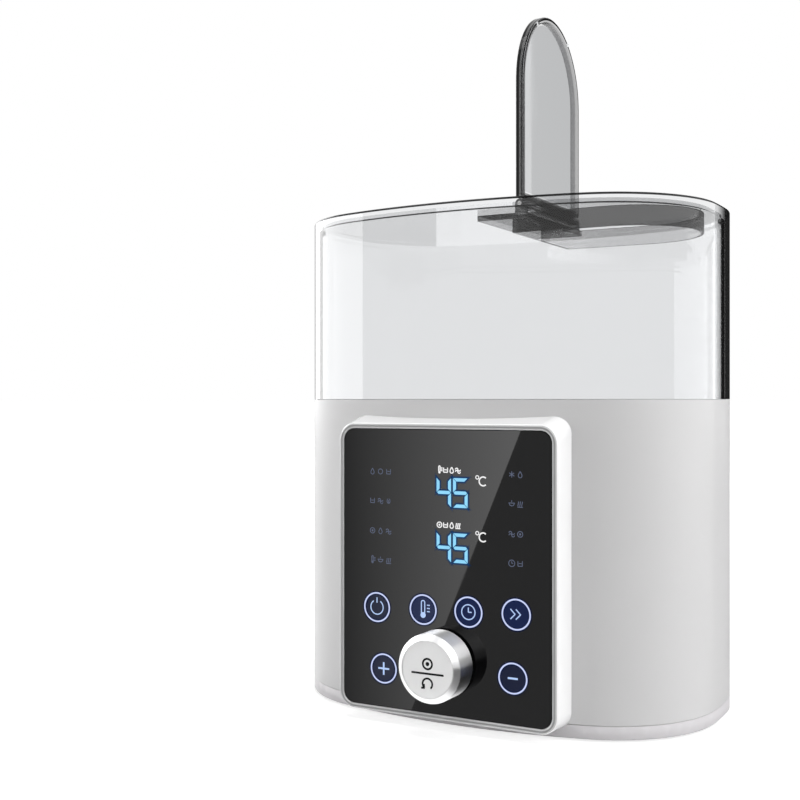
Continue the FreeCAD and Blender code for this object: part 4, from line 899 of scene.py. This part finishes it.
def makeKeys():
    bm, glow, wordFill, plainFill = [bmesh.new() for shape in range(4)]
    for name, (x, z, size) in keys.items():
        arc(bm, x, z, marks["keyRing"], marks["keyStroke"])
        arc(glow, x, z, marks["keyRing"], marks["keyStroke"] + marks["keyHalo"] * 2)
        dot(plainFill if name in plainKeys else wordFill, x, z, marks["keyRing"])
    finishMarks(bm, "keyRings", "ringLight")
    finishGlow(glow, "keyRingGlow", "ringGlow", marks["keyHalo"], marks["ringGlowDepth"])
    finishGlow(wordFill, "wordKeyFill", "keyFillGlow", 0, marks["fillDepth"], marks["wordFill"])
    finishGlow(plainFill, "plainKeyFill", "keyFillGlow", 0, marks["fillDepth"], marks["plainFill"])
    for name, (x, z, size) in keys.items():
        bm = bmesh.new()
        pictogram(bm, name, x, z, size, marks["signStroke" if name in ("plus", "minus") else "iconStroke"])
        finishMarks(bm, name + "KeyMark", "iconLight")


def makeLabels():
    bm = bmesh.new()
    for centre, pitch, rows in labels:
        for z, names in rows.items():
            for index, name in enumerate(names):
                pictogram(bm, name, centre + (index - (len(names) - 1) / 2) * pitch, z, 1.3, 0.36)
    finishMarks(bm, "dimLabels", "dimLight")


def makeDialMarks():
    bm = bmesh.new()
    bar(bm, 0, knob["z"] - 1.8, 16.0, 0.9)
    pictogram(bm, "target", 0, knob["z"] + 2.5, 2.4, 0.9)
    pictogram(bm, "turn", 0, knob["z"] - 6.3, 2.4, 0.85)
    finishMarks(bm, "dialMarks", "dialInk", "knob", "collar_black", knob["front"] + 0.2 - marks["front"])


makeReadouts()
makeKeys()
makeLabels()
makeDialMarks()
print("panel marks made")


copies = {"base_tray": "baseTray", "top_deck": "topDeck", "water_tank": "waterTank",
          "bottle_rack": "liftOutRack", "rack_pads": "rackPads", "mains_inlet": "mainsInlet",
          "rubber_feet": "rubberFeet", "hood_seal": "hoodSeal"}
# Smoked parts under the hood's top, with the x of the middle that their walls face away from
smokedCopies = {"opening_collar": ("openingSkirt", 50.0), "hinge_bracket": ("hingeBracket", 10.0)}


# Painted shade: the outer walls are painted darkest from the front, and the inner walls are painted pale so
# that the far wall shows faintly
def paintWallShade(piece, middle):
    def outward(centre, normal):
        return 0 if abs(normal.z) >= 0.3 else (centre.x - middle) * normal.x + centre.y * normal.y

    paintFaces(piece, "smokeOuterPaintedShade", lambda centre, normal: outward(centre, normal) > 0)
    paintFaces(piece, "smokeInnerPaintedPale", lambda centre, normal: outward(centre, normal) < 0)


for nodeName, pieceName in copies.items():
    smoothCopy(nodeName, pieceName)
for nodeName, (pieceName, middle) in smokedCopies.items():
    paintWallShade(smoothCopy(nodeName, pieceName, lowered=hood["plateLow"]), middle)
print("smoothed copies made")


view = dict(place=(0.2473, -0.5627, 0.1498), heading=29.2, lens=54.0)
cameraData = bpy.data.cameras.new("photoCamera")
cameraData.lens = view["lens"]
cameraData.sensor_width = 36.0
cameraData.clip_start = 0.01
camera = bpy.data.objects.new("photoCamera", cameraData)
camera.location = view["place"]
camera.rotation_euler = (math.radians(90), 0, math.radians(view["heading"]))
bpy.context.scene.collection.objects.link(camera)
bpy.context.scene.camera = camera


def softbox(name, place, power, target=(0, 0, 0.12), size=(0.8, 1.1)):
    data = bpy.data.lights.new(name, "AREA")
    data.shape = "RECTANGLE"
    data.size, data.size_y = size
    data.energy = power
    lamp = bpy.data.objects.new(name, data)
    lamp.location = place
    lamp.rotation_euler = (Vector(target) - Vector(place)).to_track_quat("-Z", "Y").to_euler()
    lamp.visible_camera = False
    lamp.visible_glossy = False
    bpy.context.scene.collection.objects.link(lamp)


softboxes = {
    "leftFrontSoftbox": dict(place=(-0.97, -1.2, 0.5), power=6.0),
    "leftBackSoftbox": dict(place=(-1.53, 0.2, 0.5), power=2.4),
    "rightSoftbox": dict(place=(1.55, 0.0, 0.5), power=8.3),
    "rightBackSoftbox": dict(place=(1.4, 0.6, 0.5), power=6.8),
    "highRightSoftbox": dict(place=(0.95, -0.25, 1.25), target=(0, 0, 0.1), size=(0.7, 0.7), power=4.8),
    "topSoftbox": dict(place=(0.0, -0.14, 1.55), target=(0, -0.1, 0.1), size=(0.8, 0.5), power=13.0),
    "backSoftbox": dict(place=(0.3, 1.6, 0.6), size=(1.1, 1.1), power=7.0),
}
for name, look in softboxes.items():
    softbox(name, **look)


# A white card's light, of one strength or of one that changes along x
def cardLight(tree, strength):
    if isinstance(strength, dict):
        along = addNode(tree, "SeparateXYZ", {0: addNode(tree, "TexCoord")["Object"]})["X"]
        strength = addNode(tree, "MapRange", {"Value": along, **strength})[0]
    return addNode(tree, "Emission", {"Color": (1, 1, 1, 1), "Strength": strength})[0]


# Cards that only reflections see: they shape the gloss, and light nothing
def makeCard(name, bm, strength):
    card = meshObject(name, bm)
    card.data.materials.append(newMaterial(name, cardLight, strength))
    for kind in ("camera", "diffuse", "transmission", "volume_scatter", "shadow"):
        setattr(card, "visible_" + kind, False)


def boardMesh(place, width, depth):
    bm = bmesh.new()
    bmesh.ops.transform(bm, matrix=place @ Matrix.Diagonal((width, depth, 1, 1)), verts=unitGrid(bm))
    return bm


# A board in front, cut on the slant, whose edge the glass shows as a diagonal
def slantedCard(look):
    bm = boardMesh(Matrix.Translation(look["place"]) @ faceFront, *look["size"])
    for vert in bm.verts:
        if vert.co.x > look["place"][0]:
            vert.co.x = look["topRight"] if vert.co.z > 0 else look["lowRight"]
    return bm


# An upright curved wall round the object, from one heading to another, in degrees from +X
def curvedCard(look, radius=1.5):
    bm = bmesh.new()
    first = math.radians(look["start"])
    ends = [bm.verts.new((radius * math.cos(first), radius * math.sin(first), z)) for z in look["heights"]]
    bmesh.ops.spin(bm, geom=ends + [bm.edges.new(ends)], cent=(0, 0, 0), axis=(0, 0, 1), use_merge=False,
                   steps=24, angle=math.radians(look["end"]) - first)
    return bm


def levelCard(look):
    return boardMesh(Matrix.Translation(look["place"]), *look["size"])


cards = {
    "glassCard": dict(shape=slantedCard, place=(-0.55, -0.9, -0.085), size=(0.48, 0.43), topRight=-0.311,
                      lowRight=-0.492,
                      strength={"From Min": -0.60, "From Max": -0.33, "To Min": 0.4, "To Max": 6.9}),
    "leftBackCard": dict(shape=curvedCard, heights=(-0.34, 1.2), start=119, end=143, strength=0.6),
    "leftCard": dict(shape=curvedCard, heights=(0.14, 1.2), start=143, end=217, strength=4.0),
    "leftLowCard": dict(shape=curvedCard, heights=(-0.34, 0.14), start=143, end=217, strength=1.7),
    "rightCard": dict(shape=curvedCard, heights=(-0.34, 1.2), start=66, end=112, strength=0.03),
    "highCard": dict(shape=curvedCard, heights=(0.5, 1.8), start=-95, end=30, strength=2.8),
    "overCard": dict(shape=levelCard, place=(-1.0, -0.45, 1.9), size=(0.9, 0.7), strength=6.0),
    "floorLeftCard": dict(shape=levelCard, place=(-10.3, 0.0, -0.35), size=(20.0, 40.0), strength=1.3),
    "floorCard": dict(shape=levelCard, place=(4.7, 0.0, -0.35), size=(10.0, 40.0),
                      strength={"From Min": 0.05, "From Max": 0.22, "To Min": 1.4, "To Max": 0.01}),
}
for name, look in cards.items():
    makeCard(name, look["shape"](look), look["strength"])


# One where the camera looks, straight, by a mirror or through something clear
def seenShare(tree):
    rays = addNode(tree, "LightPath")
    seen = mathNode(tree, "MAXIMUM", rays["Is Camera Ray"], rays["Is Glossy Ray"])
    return mathNode(tree, "MAXIMUM", seen, rays["Is Transmission Ray"])


def makeWorld(name, ambient, backdrop):
    world = bpy.data.worlds.new(name)
    bpy.context.scene.world = world
    world.use_nodes = True
    tree = world.node_tree
    tree.nodes.clear()
    skies = [addNode(tree, "Background", {"Color": (1, 1, 1, 1), "Strength": power})[0]
             for power in (ambient, backdrop)]
    addNode(tree, "OutputWorld", {"Surface": mixShaders(tree, seenShare(tree), *skies)})


# Pale paper that glows a little where it is seen, more away from the object
def floorPaper(tree, look):
    reach = addNode(tree, "VectorMath", {0: addNode(tree, "TexCoord")["Object"]}, operation="LENGTH")["Value"]
    ramp = addNode(tree, "MapRange", {"Value": reach, **look["glow"]}, interpolation_type="SMOOTHSTEP")
    paper = addNode(tree, "BsdfDiffuse", {"Color": rgba(look["color"])})
    glow = addNode(tree, "Emission", {"Color": (1, 1, 1, 1), "Strength": ramp[0]})
    share = mathNode(tree, "MULTIPLY", seenShare(tree), look["share"])
    return mixShaders(tree, share, paper[0], glow[0])


# Far wider than the picture, so that no edge shows
floorLook = dict(width=120.0, color=0.86, share=0.45,
                 glow={"From Min": 0.2, "From Max": 1.2, "To Min": 1.7, "To Max": 2.3})
makeWorld("paleStudio", 0.06, 1.0)
floor = meshObject("studioFloor", boardMesh(Matrix(), floorLook["width"], floorLook["width"]))
floor.data.materials.append(newMaterial("floorPaper", floorPaper, floorLook))
floor.visible_glossy = False
bpy.context.scene.view_settings.view_transform = "Standard"
print("camera, lights and floor made")
